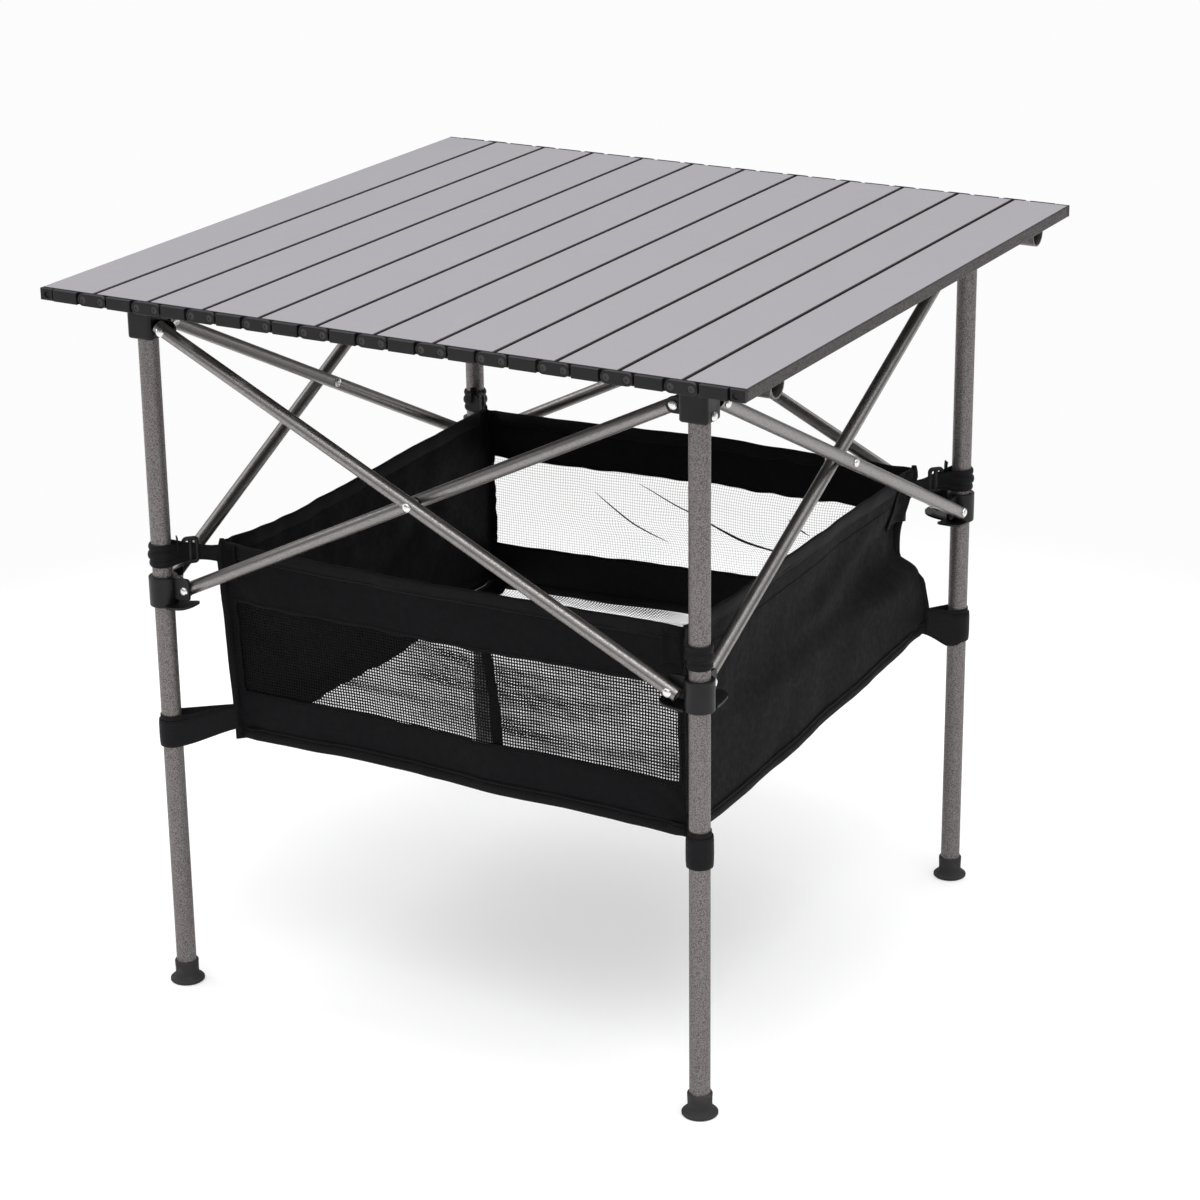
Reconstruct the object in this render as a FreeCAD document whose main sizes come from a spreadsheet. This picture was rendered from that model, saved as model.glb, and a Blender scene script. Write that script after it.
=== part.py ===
import FreeCAD, Part
import math
import os

import Sketcher
from FreeCAD import Placement, Rotation, Vector

# Folding camp kitchen table: a roll-up slat top resting on a square scissor frame of four
# legs, with a cloth basket hung between the legs.
# Frame: millimetres, +Z up, +X along the front edge, +Y to the back, origin on the ground
# under the centre of the top.

DIMENSIONS = {
    # overall
    "top_height": (700.0, "ground to the top face of the slats"),
    "top_width": (700.0, "slat row, outer edge to outer edge"),
    "top_depth": (700.0, "over the bumpers at both slat ends"),
    "leg_spacing": (560.0, "leg axis to leg axis, both ways"),
    "frame_shift": (-6.0, "centre of the frame from the centre of the top, along X"),
    # roll-up top
    "slat_gap": (2.8, "between neighbouring slats"),
    "slat_thick": (11.4, "slat height"),
    "slat_wall": (1.0, "extrusion wall"),
    "slat_edge_round": (1.2, "outer long edges"),
    "bumper_long": (25.5, "raised middle of an end cap"),
    "bumper_deep": (4.5, "how far a bumper stands out"),
    "bumper_high": (10.8, "bumper height"),
    "bumper_round": (1.1, "bumper edges"),
    "end_plate": (1.5, "end cap plate"),
    "plug_deep": (14.0, "end cap plug inside the slat"),
    "fit_gap": (0.1, "plug and plate clearance inside a slat"),
    "link_pitch": (19.0, "between the two pins of a link"),
    "link_high": (11.2, "link plate height"),
    "link_thick": (4.0, "link plate thickness"),
    "link_round": (0.9, "outer rim of a link plate"),
    "link_gap": (0.2, "between a link plate and the end caps"),
    "pin_dia": (4.0, "link pin shank"),
    "pin_reach": (13.0, "pin length behind its head"),
    "pin_head": (6.4, "pin head diameter"),
    "pin_head_high": (0.9, "pin head height"),
    "counterbore": (1.2, "depth of the seat for a pin head"),
    "hex_radius": (1.5, "socket in a pin head, corner radius"),
    "corner_block_deep": (3.4, "block at an outer corner of the top"),
    "corner_block_gap": (1.4, "bumper to corner block"),
    "stop_long": (16.0, "stop block under the right-hand slat, along X"),
    "stop_wide": (9.0, "stop block along Y"),
    "stop_high": (6.5, "stop block height"),
    "stop_setback": (7.0, "stop block to crossbar"),
    "stop_inset": (2.0, "stop block to the slat's outer edge"),
    # crossbars under the top
    "crossbar_long": (690.0, "half-round tube length"),
    "crossbar_wide": (25.0, "half-round tube width"),
    "crossbar_high": (14.6, "half-round tube height"),
    "crossbar_wall": (1.5, "half-round tube wall"),
    "rest_gap": (0.2, "between parts that rest on each other"),
    "tool_over": (1.0, "how far a cutting tool passes the faces it cuts"),
    # legs
    "leg_dia": (19.0, "leg tube"),
    "leg_wall": (1.2, "leg tube wall"),
    "foot_floor": (4.0, "rubber under the tube"),
    "foot_dia": (33.0, "foot disc"),
    "foot_disc": (3.4, "foot disc height at its rim"),
    "foot_sleeve": (23.0, "foot sleeve"),
    "foot_high": (21.5, "foot height"),
    "foot_round": (1.0, "foot edges"),
    "foot_flare": (1.6, "foot disc top to sleeve, outwards"),
    "foot_waist": (0.4, "how far the sleeve draws in half-way up"),
    "run_gap": (0.05, "radial running clearance"),
    # top caps of the legs
    "cap_wide": (27.0, "cap block side"),
    "cap_low": (646.0, "underside of a cap"),
    "cap_socket": (22.0, "tube depth inside a cap"),
    "cap_round": (4.0, "upright edges of a cap"),
    "cap_foot_round": (2.2, "lower rim of a cap"),
    "cap_rivet_drop": (5.0, "blind rivet below the cap pivots"),
    "cap_rivet_sink": (3.0, "blind rivet inside the tube"),
    "ear_thick": (2.6, "pivot ears"),
    "ear_root": (10.0, "leg axis to where ears and skirts start, inside the collar or cap"),
    "ear_round": (7.2, "pivot ear end radius"),
    # scissor bars
    "pivot_inset": (24.0, "leg axis to pivot"),
    "pivot_top": (656.0, "height of the cap pivots"),
    "pivot_low": (405.0, "height of the slider pivots"),
    "bar_dia": (12.6, "scissor bar tube"),
    "bar_wall": (1.0, "scissor bar wall"),
    "bar_over": (7.5, "bar end beyond its pivot"),
    "bar_gap": (0.2, "bar to ear"),
    "rivet_dia": (5.0, "rivet shank"),
    "rivet_head": (8.8, "rivet head diameter"),
    "rivet_head_high": (2.4, "rivet head height"),
    "spacer_dia": (10.0, "spacer between crossing bars"),
    # sliders
    "collar_dia": (27.0, "slider collar"),
    "collar_low": (388.4, "underside of a slider"),
    "collar_high": (28.6, "slider height"),
    "slider_ear_reach": (29.4, "leg axis to ear end"),
    "slider_ear_low": (396.0, "ear underside"),
    "slider_ear_high": (21.0, "ear height"),
    "slider_ear_round": (2.5, "ear corners"),
    "skirt_reach": (36.0, "leg axis to skirt tip"),
    "skirt_wide": (24.0, "skirt width"),
    "skirt_thick": (2.2, "skirt thickness"),
    "skirt_rise": (4.4, "how far the skirt tip curls up"),
    "skirt_tip_round": (9.0, "skirt tip corners"),
    # basket
    "basket_side": (500.0, "basket, both ways"),
    "basket_low": (257.0, "basket floor"),
    "basket_rim": (447.0, "basket rim"),
    "basket_cloth": (1.5, "basket wall"),
    "basket_round": (14.0, "basket corners"),
    "floor_gap": (1.0, "between the basket floor and its walls"),
    "strap_cloth": (1.6, "strap thickness"),
    "strap_gap": (1.0, "strap loop to leg"),
    "strap_high_low": (428.0, "upper strap, lower edge"),
    "strap_high_wide": (21.0, "upper strap width"),
    "strap_low_low": (240.0, "lower strap, lower edge"),
    "strap_low_wide": (34.0, "lower strap width"),
    "strap_low_lap": (12.0, "how far a lower strap's tab overlaps the basket wall in height"),
}
SLAT_COUNT = 12
CORNERS = (("fl", 0), ("fr", 90), ("br", 180), ("bl", 270))
SIDES = (("front", 0), ("right", 90), ("back", 180), ("left", 270))
ORIGIN = Vector(0, 0, 0)
AXIS_X = Vector(1, 0, 0)
AXIS_Y = Vector(0, 1, 0)
AXIS_Z = Vector(0, 0, 1)
ALONG_X = Rotation(AXIS_Y, 90)
ALONG_Y = Rotation(AXIS_X, -90)

doc = FreeCAD.newDocument("camp_kitchen_table")
sheet = doc.addObject("Spreadsheet::Sheet", "sizes")
for row, (alias, (number, note)) in enumerate(DIMENSIONS.items(), start=1):
    sheet.set(f"A{row}", note)
    sheet.set(f"B{row}", str(number))
    sheet.setAlias(f"B{row}", alias)
doc.recompute()


def size(formula):
    """Value in millimetres of a formula over the sheet's aliases."""
    return float(sheet.evalExpression(qualified(formula)))


def qualified(formula):
    """The same formula with each alias written as a cell of the sheet."""
    words = "".join(c if c.isalnum() or c == "_" else f" {c} " for c in formula).split(" ")
    return "".join(f"sizes.{word}" if word in DIMENSIONS else word for word in words)


def bind(thing, **formulas):
    """Ties each named property of a document object to a formula."""
    for name, formula in formulas.items():
        thing.setExpression(name, qualified(formula))
    return thing


def move(thing, base=ORIGIN, turn=None):
    thing.Placement = Placement(Vector(*base), turn or Rotation())
    return thing


# ---- solids from primitives -------------------------------------------------------------


def block(name, long, wide, high, at):
    """Box whose middle in X and Y and underside in Z lie at the point `at`."""
    box = bind(doc.addObject("Part::Box", name), Length=long, Width=wide, Height=high)
    return move(box, (at[0] - size(long) / 2, at[1] - size(wide) / 2, at[2]))


def rod(name, radius, high, at=ORIGIN, turn=None):
    """Cylinder that starts at the point `at` and runs along +Z, or along `turn` of it."""
    return move(bind(doc.addObject("Part::Cylinder", name), Radius=radius, Height=high), at, turn)


def fuse(name, *shapes):
    joined = doc.addObject("Part::MultiFuse", name)
    joined.Shapes = list(shapes)
    joined.Refine = True
    return joined


def cut(name, base, *tools):
    made = doc.addObject("Part::Cut", name)
    made.Base = base
    made.Tool = tools[0] if len(tools) == 1 else fuse(f"{name}_tools", *tools)
    return made


def common(name, base, tool):
    made = doc.addObject("Part::Common", name)
    made.Base = base
    made.Tool = tool
    return made


def group(name, *shapes):
    """Separate solids kept together, as one node of identical or joined pieces."""
    made = doc.addObject("Part::Compound", name)
    made.Links = list(shapes)
    return made


def rounded(name, base, radius, wanted):
    """Fillets the edges of `base` for which wanted(edge) is true."""
    doc.recompute()
    edges = [i for i, edge in enumerate(base.Shape.Edges, start=1) if wanted(edge)]
    made = doc.addObject("Part::Fillet", name)
    made.Base = base
    made.Edges = [(i, size(radius), size(radius)) for i in edges]
    return made


def along(edge, axis):
    """True for a straight edge parallel to the axis."""
    straight = edge.Curve.TypeId == "Part::GeomLine"
    return straight and abs(abs(edge.Curve.Direction.dot(axis)) - 1) < 1e-6


def lies_at(edge, axis, place):
    """True when both ends of the edge have the same given coordinate along the axis."""
    return all(abs(vertex.Point.dot(axis) - place) < 1e-4 for vertex in edge.Vertexes)


# ---- solids from sketches ---------------------------------------------------------------


def sketch_on(body, role, corners):
    """Closed outline on an origin plane; each corner is a pair of formulas."""
    sketch = body.newObject("Sketcher::SketchObject", f"{body.Name}_outline")
    plane = [f for f in body.Origin.OriginFeatures if f.Role == role][0]
    sketch.AttachmentSupport = (plane, "")
    sketch.MapMode = "FlatFace"
    points = [Vector(size(across), size(up), 0) for across, up in corners]
    count = len(points)
    for i in range(count):
        sketch.addGeometry(Part.LineSegment(points[i], points[(i + 1) % count]))
    for i, (across, up) in enumerate(corners):
        sketch.addConstraint(Sketcher.Constraint("Coincident", i - 1 if i else count - 1, 2, i, 1))
        for kind, formula, place in (("DistanceX", across, points[i].x), ("DistanceY", up, points[i].y)):
            index = sketch.addConstraint(Sketcher.Constraint(kind, -1, 1, i, 1, place))
            sketch.setExpression(f"Constraints[{index}]", qualified(formula))
    return sketch


def new_body(name):
    return doc.addObject("PartDesign::Body", name)


def lathe(name, corners):
    """Solid of revolution about Z; corners are (radius, height) pairs of formulas."""
    body = new_body(name)
    turned = body.newObject("PartDesign::Revolution", f"{name}_turned")
    turned.Profile = sketch_on(body, "XZ_Plane", corners)
    turned.ReferenceAxis = (turned.Profile[0], ["V_Axis"])
    turned.Angle = 360
    return body


def prism(name, role, corners, deep):
    """Outline on an origin plane, padded evenly to both sides."""
    body = new_body(name)
    pad = body.newObject("PartDesign::Pad", f"{name}_pad")
    pad.Profile = sketch_on(body, role, corners)
    pad.SideType = "Symmetric"
    bind(pad, Length=deep)
    return body


# ---- the roll-up top --------------------------------------------------------------------

SLAT_WIDTH = f"((top_width - {SLAT_COUNT - 1} * slat_gap) / {SLAT_COUNT})"
SLAT_LONG = "(top_depth - 2 * (bumper_deep + end_plate))"
PIVOT_FROM_MIDDLE = f"(({SLAT_WIDTH} + slat_gap - link_pitch) / 2)"
SQUARE = ((-1, -1), (1, -1), (1, 1), (-1, 1))


def slat_extrusion():
    """Hollow flat aluminium extrusion, middle at the origin, long along Y."""
    half_wide = f"{SLAT_WIDTH} / 2"
    corners = [(f"{a} * {half_wide}", f"{b} * slat_thick / 2") for a, b in SQUARE]
    outer = prism("slat_outer", "XZ_Plane", corners, SLAT_LONG)
    skin = rounded("slat_skin", outer, "slat_edge_round", lambda e: along(e, AXIS_Y))
    hollow = block("slat_hollow", f"{SLAT_WIDTH} - 2 * slat_wall", f"{SLAT_LONG} + 2 * tool_over",
                   "slat_thick - 2 * slat_wall", (0, 0, -size("slat_thick / 2 - slat_wall")))
    return cut("slat_extrusion", skin, hollow)


def end_cap(name, corner_side):
    """Plastic cap for the front end of a slat: plug, plate and bumper, with two pin holes.

    On an end slat, corner_side is -1 or 1: that side carries a block and no pin hole.
    """
    face = -size(f"{SLAT_LONG} / 2")
    plate_mid = face - size("end_plate / 2")
    half = size("slat_thick / 2")
    plug = block(f"{name}_plug", f"{SLAT_WIDTH} - 2 * (slat_wall + fit_gap)", "plug_deep",
                 "slat_thick - 2 * (slat_wall + fit_gap)",
                 (0, face + size("plug_deep / 2"), -half + size("slat_wall + fit_gap")))
    flat = block(f"{name}_plate_raw", f"{SLAT_WIDTH} - 2 * fit_gap", "end_plate",
                 "slat_thick - 2 * fit_gap", (0, plate_mid, -half + size("fit_gap")))
    plate = rounded(f"{name}_plate", flat, "slat_edge_round - fit_gap", lambda e: along(e, AXIS_Y))
    bumper = raised_block(f"{name}_bumper", "bumper_long", "bumper_deep", 0)
    pieces = [plug, plate, bumper]
    if corner_side:
        span = f"({SLAT_WIDTH} / 2 - fit_gap - bumper_long / 2 - corner_block_gap)"
        middle = corner_side * (size(f"{SLAT_WIDTH} / 2 - fit_gap") - size(span) / 2)
        pieces.append(raised_block(f"{name}_corner", span, "corner_block_deep", middle))
    holes = []
    for side in (-1, 1):
        if side == corner_side:
            deep, radius = "2 * counterbore", "pin_head / 2"
            mouth = face - size("end_plate + corner_block_deep + counterbore")
        else:
            deep, radius = "end_plate + pin_reach + tool_over", "pin_dia / 2 + run_gap"
            mouth = face - size("end_plate + tool_over")
        place = (side * size(PIVOT_FROM_MIDDLE), mouth, 0)
        holes.append(rod(f"{name}_hole_{side + 1}", radius, deep, place, ALONG_Y))
    return cut(name, fuse(f"{name}_blank", *pieces), *holes)


def raised_block(name, long, deep, middle):
    """Block standing out of the front cap plate, with soft outer edges."""
    root = -size(f"{SLAT_LONG} / 2 + end_plate")
    raw = block(f"{name}_raw", long, deep, "bumper_high",
                (middle, root - size(deep) / 2, -size("bumper_high / 2")))
    tip = root - size(deep)
    return rounded(name, raw, "bumper_round", lambda e: lies_at(e, AXIS_Y, tip))


def link_plate():
    """Oval plate over the joint of two slats, middle at the origin, at the front end."""
    inner = -size(f"{SLAT_LONG} / 2 + end_plate + link_gap")
    tip = inner - size("link_thick")
    middle = block("link_middle", "link_pitch", "link_thick", "link_high",
                   (0, (inner + tip) / 2, -size("link_high / 2")))
    ends = [
        rod(f"link_end_{side + 1}", "link_high / 2", "link_thick",
            (side * size("link_pitch / 2"), tip, 0), ALONG_Y)
        for side in (-1, 1)
    ]
    blank = fuse("link_blank", middle, *ends)
    soft = rounded("link_soft", blank, "link_round", lambda e: lies_at(e, AXIS_Y, tip))
    holes = []
    for side in (-1, 1):
        across = side * size("link_pitch / 2")
        mouth = (across, tip - size("tool_over"), 0)
        holes.append(rod(f"link_bore_{side + 1}", "pin_dia / 2 + run_gap",
                         "link_thick + 2 * tool_over", mouth, ALONG_Y))
        holes.append(rod(f"link_seat_{side + 1}", "pin_head / 2 + run_gap",
                         "counterbore + tool_over", mouth, ALONG_Y))
    return cut("link_plate", soft, *holes)


def link_pin(side):
    """Socket-head pin of a link plate, in its bore at the front end."""
    name = f"pin_{side + 1}"
    across = side * size("link_pitch / 2")
    tip = -size(f"{SLAT_LONG} / 2 + end_plate + link_gap + link_thick")
    seat = tip + size("counterbore")
    head = rod(f"{name}_head", "pin_head / 2", "pin_head_high",
               (across, seat - size("pin_head_high"), 0), ALONG_Y)
    shank = rod(f"{name}_shank", "pin_dia / 2", "pin_reach", (across, seat, 0), ALONG_Y)
    socket = bind(doc.addObject("Part::Prism", f"{name}_socket"), Circumradius="hex_radius",
                  Height="pin_head_high * 0.6 + tool_over")
    move(socket, (across, seat - size("pin_head_high + tool_over"), 0), ALONG_Y)
    return cut(name, fuse(f"{name}_solid", head, shank), socket)


def stop_block(name, at_y):
    """Wedge-shaped stop under the right-hand slat, in front of a crossbar."""
    corners = [("-stop_wide", "0"), ("stop_wide / 2", "0"), ("stop_wide / 3", "-stop_high"),
               ("stop_wide / 6", "-stop_high")]
    wedge = prism(f"{name}_wedge", "YZ_Plane", corners, "stop_long")
    lift = -size("slat_thick / 2 + fit_gap")
    inset = size(f"{SLAT_WIDTH} / 2 - stop_long / 2 - stop_inset")
    return move(group(name, wedge), (inset, at_y, lift))


def crossbar(name, at_y):
    """Half-round tube under the slats, flat side up, long along X."""
    top = size("top_height - slat_thick - rest_gap")
    made = []
    for part, radius, long in (
        ("outer", "crossbar_wide / 2", "crossbar_long"),
        ("inner", "crossbar_wide / 2 - crossbar_wall", "crossbar_long + 2 * tool_over"),
    ):
        inset = 0 if part == "outer" else size("crossbar_wall")
        round_low = size("crossbar_high - crossbar_wide / 2")
        start = (-size(long) / 2, at_y, top - round_low)
        trough = rod(f"{name}_{part}_round", radius, long, start, ALONG_X)
        upper = block(f"{name}_{part}_flat", long, f"2 * ({radius})",
                      "crossbar_high - crossbar_wide / 2", (0, at_y, top - round_low))
        lid = block(f"{name}_{part}_lid", long, "2 * crossbar_wide", "crossbar_wide",
                    (0, at_y, top - inset))
        both = fuse(f"{name}_{part}_both", trough, upper)
        made.append(cut(f"{name}_{part}", both, lid))
    return cut(name, *made)


# ---- legs -------------------------------------------------------------------------------

# (radius, height) of points on a blind rivet head, as shares of its diameter and its height
FLAT_DOME = ((0.44, 0.45), (0.28, 0.8), (0, 0.95))


def leg_tube(cap_rivet_side):
    """Tube from the foot into the cap, and the blind rivet that holds the cap on it."""
    name = f"tube_{cap_rivet_side}"
    long = "cap_low + cap_socket - foot_floor - rest_gap"
    start = (0, 0, size("foot_floor + rest_gap"))
    outer = rod(f"{name}_outer", "leg_dia / 2", long, start)
    inner = rod(f"{name}_inner", "leg_dia / 2 - leg_wall", long, start)
    hole = rod(f"{name}_hole", "pin_dia / 2 + run_gap", "leg_dia / 2",
               (0, 0, size("pivot_top - cap_rivet_drop")), cap_side_turn(cap_rivet_side))
    rivet = lathe(f"{name}_rivet", blind_rivet_outline())
    move(rivet, (0, 0, size("pivot_top - cap_rivet_drop")), cap_side_turn(cap_rivet_side))
    return group(name, cut(f"{name}_wall", cut(f"{name}_bored", outer, inner), hole), rivet)


def cap_side_turn(side):
    """Turns +Z to the outside face of the cap that carries the blind rivet."""
    return Rotation(AXIS_Y, -90) if side == "x" else Rotation(AXIS_X, 90)


def blind_rivet_outline():
    face = "cap_wide / 2 + rest_gap"
    tail = "leg_dia / 2 - cap_rivet_sink"
    outline = [("0", tail), ("pin_dia / 2", tail), ("pin_dia / 2", face), ("rivet_head / 2", face)]
    outline += [(f"rivet_head * {r}", f"{face} + rivet_head_high * {z}") for r, z in FLAT_DOME]
    return outline


def foot():
    """Rubber foot: disc, waist and sleeve around the tube end."""
    bore = "leg_dia / 2 + run_gap"
    return lathe("foot_turned_body", [
        ("0", "0"), ("foot_dia / 2 - foot_round", "0"), ("foot_dia / 2", "foot_round"),
        ("foot_dia / 2", "foot_disc - foot_round"), ("foot_dia / 2 - foot_round", "foot_disc"),
        ("foot_sleeve / 2 + foot_flare", "foot_disc + foot_flare / 3"),
        ("foot_sleeve / 2", "foot_disc + foot_flare * 2"),
        ("foot_sleeve / 2 - foot_waist", "foot_high / 2"),
        ("foot_sleeve / 2", "foot_high - foot_round"),
        ("foot_sleeve / 2 - foot_round / 2", "foot_high"), (bore, "foot_high"),
        (bore, "foot_floor"), ("0", "foot_floor"),
    ])


def cap(rivet_side):
    """Square plastic cap on a leg, with a socket for the tube and two pivot ears."""
    name = f"cap_{rivet_side}"
    low = size("cap_low")
    high = "top_height - slat_thick - 2 * rest_gap - crossbar_high - cap_low"
    raw = block(f"{name}_raw", "cap_wide", "cap_wide", high, (0, 0, low))
    upright = rounded(f"{name}_upright", raw, "cap_round", lambda e: along(e, AXIS_Z))
    soft = rounded(f"{name}_soft", upright, "cap_foot_round", lambda e: lies_at(e, AXIS_Z, low))
    ears = [cap_ear(f"{name}_ear_{axis}", axis) for axis in "xy"]
    solid = fuse(f"{name}_solid", soft, *ears)
    socket = rod(f"{name}_socket", "leg_dia / 2 + run_gap", "cap_socket + fit_gap + tool_over",
                 (0, 0, low - size("tool_over")))
    rivet_hole = rod(f"{name}_rivet_hole", "pin_dia / 2 + run_gap", "cap_wide",
                     (0, 0, size("pivot_top - cap_rivet_drop")), cap_side_turn(rivet_side))
    bores = [pivot_bore(f"{name}_bore_{axis}", axis, "pivot_top") for axis in "xy"]
    return cut(name, solid, socket, rivet_hole, *bores)


def cap_ear(name, axis):
    """Rounded ear in the plane of the leg axis, reaching inboard to the pivot."""
    turn = Rotation(AXIS_Z, 0 if axis == "x" else 90)
    arm = block(f"{name}_arm", "pivot_inset - ear_root", "ear_thick", "2 * ear_round",
                (size("(pivot_inset + ear_root) / 2"), 0, size("pivot_top - ear_round")))
    end = rod(f"{name}_end", "ear_round", "ear_thick",
              (size("pivot_inset"), -size("ear_thick / 2"), size("pivot_top")), ALONG_Y)
    return move(fuse(name, arm, end), ORIGIN, turn)


def pivot_bore(name, axis, height):
    """Drill for a pivot rivet through an ear."""
    turn = Rotation(AXIS_Z, 0 if axis == "x" else 90)
    drill = rod(f"{name}_drill", "rivet_dia / 2 + run_gap", "ear_thick * 3",
                (size("pivot_inset"), -size("ear_thick * 1.5"), size(height)), ALONG_Y)
    return move(group(name, drill), ORIGIN, turn)


def slider():
    """Plastic collar that runs on a leg, with two pivot ears and a curled skirt."""
    low = size("collar_low")
    raw = rod("slider_raw", "collar_dia / 2", "collar_high", (0, 0, low))
    collar = rounded("slider_collar", raw, "foot_round", lambda e: not along(e, AXIS_Z))
    pieces = [collar]
    for axis, angle in (("x", 0), ("y", 90)):
        turn = Rotation(AXIS_Z, angle)
        middle = size("(slider_ear_reach + ear_root) / 2")
        ear = block(f"slider_ear_raw_{axis}", "slider_ear_reach - ear_root", "ear_thick",
                    "slider_ear_high", (middle, 0, size("slider_ear_low")))
        tip = size("slider_ear_reach")
        soft = rounded(f"slider_ear_{axis}", ear, "slider_ear_round",
                       lambda e: along(e, AXIS_Y) and lies_at(e, AXIS_X, tip))
        pieces.append(move(group(f"slider_ear_at_{axis}", soft), ORIGIN, turn))
        pieces.append(move(group(f"slider_skirt_at_{axis}", skirt(axis)), ORIGIN, turn))
    solid = fuse("slider_solid", *pieces)
    bore = rod("slider_bore", "leg_dia / 2 + run_gap", "collar_high + 2 * tool_over",
               (0, 0, low - size("tool_over")))
    bores = [pivot_bore(f"slider_bore_{axis}", axis, "pivot_low") for axis in "xy"]
    return cut("slider", solid, bore, *bores)


def skirt(axis):
    """Thin skirt under an ear that curls up towards its rounded tip."""
    lower, upper = [], []
    for share in (0, 0.25, 0.5, 0.75, 1):
        out = f"ear_root + {share} * (skirt_reach + tool_over - ear_root)"
        rise = f"collar_low + {share ** 2} * skirt_rise"
        lower.append((out, rise))
        upper.append((out, f"{rise} + skirt_thick"))
    curled = prism(f"skirt_curl_{axis}", "XZ_Plane", lower + upper[::-1], "2 * skirt_wide")
    tip = size("skirt_reach")
    raw = block(f"skirt_plan_raw_{axis}", "skirt_reach", "skirt_wide", "collar_high",
                (tip / 2, 0, size("collar_low - tool_over")))
    plan = rounded(f"skirt_plan_{axis}", raw, "skirt_tip_round",
                   lambda e: along(e, AXIS_Z) and lies_at(e, AXIS_X, tip))
    return common(f"skirt_{axis}", curled, plan)


# ---- scissor bars -----------------------------------------------------------------------

BAR_OFFSET = "(ear_thick / 2 + bar_gap + bar_dia / 2)"
# (radius, height) of points on a rivet head, as shares of its diameter and its height
DOME = ((0.5, 0.12), (0.46, 0.45), (0.34, 0.78), (0.17, 0.95), (0, 1))


def bar_reach():
    """Pivot-to-pivot length of a bar and its slope in degrees."""
    across = size("leg_spacing - 2 * pivot_inset")
    drop = size("pivot_top - pivot_low")
    return math.hypot(across, drop), math.degrees(math.atan2(drop, across))


def scissor_bar():
    """Tube along X with a rivet hole at each pivot and at the crossing."""
    span = bar_reach()[0]
    long = f"{span} + 2 * bar_over"
    start = (-size(long) / 2, 0, 0)
    outer = rod("bar_outer", "bar_dia / 2", long, start, ALONG_X)
    inner = rod("bar_inner", "bar_dia / 2 - bar_wall", long, start, ALONG_X)
    drills = [
        rod(f"bar_drill_{i}", "rivet_dia / 2 + run_gap", "bar_dia * 2",
            (place * span, -size("bar_dia"), 0), ALONG_Y)
        for i, place in enumerate((-0.5, 0, 0.5))
    ]
    return cut("scissor_bar", cut("bar_tube", outer, inner), *drills)


def rivet(name, start, end):
    """Rivet with two domed heads, whose head seats lie at the two heights."""
    high = "rivet_head_high"
    lower = [(f"rivet_head * {r}", f"{start} - {high} * {z}") for r, z in reversed(DOME)]
    upper = [(f"rivet_head * {r}", f"{end} + {high} * {z}") for r, z in DOME]
    shank = [("rivet_head / 2", start), ("rivet_dia / 2", start), ("rivet_dia / 2", end),
             ("rivet_head / 2", end)]
    return lathe(name, lower + shank + upper)


def rivet_set(kind):
    """Rivets of one bar: one in each ear, and on an outer bar the crossing rivet and spacer."""
    span = bar_reach()[0]
    outside = f"({BAR_OFFSET} + bar_dia / 2)"
    inside = "(ear_thick / 2)"
    start, end = (f"-{outside}", inside) if kind == "outer" else (f"-{inside}", outside)
    placed = []
    for i, place in enumerate((-0.5, 0.5)):
        one = rivet(f"rivet_{kind}_{i}", start, end)
        placed.append(move(one, (place * span, 0, 0), ALONG_Y))
    if kind == "outer":
        placed.append(move(rivet("rivet_crossing", f"-{outside}", outside), ORIGIN, ALONG_Y))
        gap = "ear_thick + 2 * bar_gap - 2 * run_gap"
        at = (0, -size(gap) / 2, 0)
        ring = cut("spacer", rod("spacer_disc", "spacer_dia / 2", gap, at, ALONG_Y),
                   rod("spacer_bore", "rivet_dia / 2 + run_gap", gap, at, ALONG_Y))
        placed.append(ring)
    return group(f"rivets_{kind}", *placed)


# ---- basket -----------------------------------------------------------------------------


def basket_walls():
    """Four cloth walls, open above, and two straps from each corner round its leg."""
    low = size("basket_low")
    outer = basket_block("walls_outer", "basket_side", "basket_rim - basket_low", low, "basket_round")
    inner = basket_block("walls_inner", "basket_side - 2 * basket_cloth",
                         "basket_rim - basket_low + 2 * tool_over", low - size("tool_over"),
                         "basket_round - basket_cloth")
    walls = cut("walls", outer, inner)
    straps = []
    for corner, angle in CORNERS:
        for level in ("high", "low"):
            straps.append(strap(f"strap_{corner}_{level}", level, angle))
    return group("walls_and_straps", walls, *straps)


def basket_block(name, side, high, low, radius):
    raw = block(f"{name}_raw", side, side, high, (0, 0, low))
    return rounded(name, raw, radius, lambda e: along(e, AXIS_Z))


def strap(name, level, angle):
    """Webbing loop round a leg with a tab to the basket corner."""
    half = -size("leg_spacing / 2")
    low = size(f"strap_{level}_low")
    high = "strap_high_wide" if level == "high" else "basket_low + strap_low_lap - strap_low_low"
    inner = "leg_dia / 2 + strap_gap"
    loop = rod(f"{name}_loop", f"{inner} + strap_cloth", f"strap_{level}_wide", (0, 0, low))
    corner_gap = "(leg_spacing - basket_side) / 2 + basket_round"
    reach = math.sqrt(2) * size(corner_gap) - size("basket_round + rest_gap")
    tab = block(f"{name}_tab", f"{reach}", "strap_cloth", high, (reach / 2, 0, low))
    turned = move(group(f"{name}_tab_turned", tab), ORIGIN, Rotation(AXIS_Z, 45))
    hole = rod(f"{name}_hole", inner, f"strap_{level}_wide + 2 * tool_over",
               (0, 0, low - size("tool_over")))
    ring = cut(f"{name}_ring", fuse(f"{name}_solid", loop, turned), hole)
    turn = Rotation(AXIS_Z, angle)
    return move(group(name, ring), turn.multVec(Vector(half, half, 0)), turn)


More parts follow.
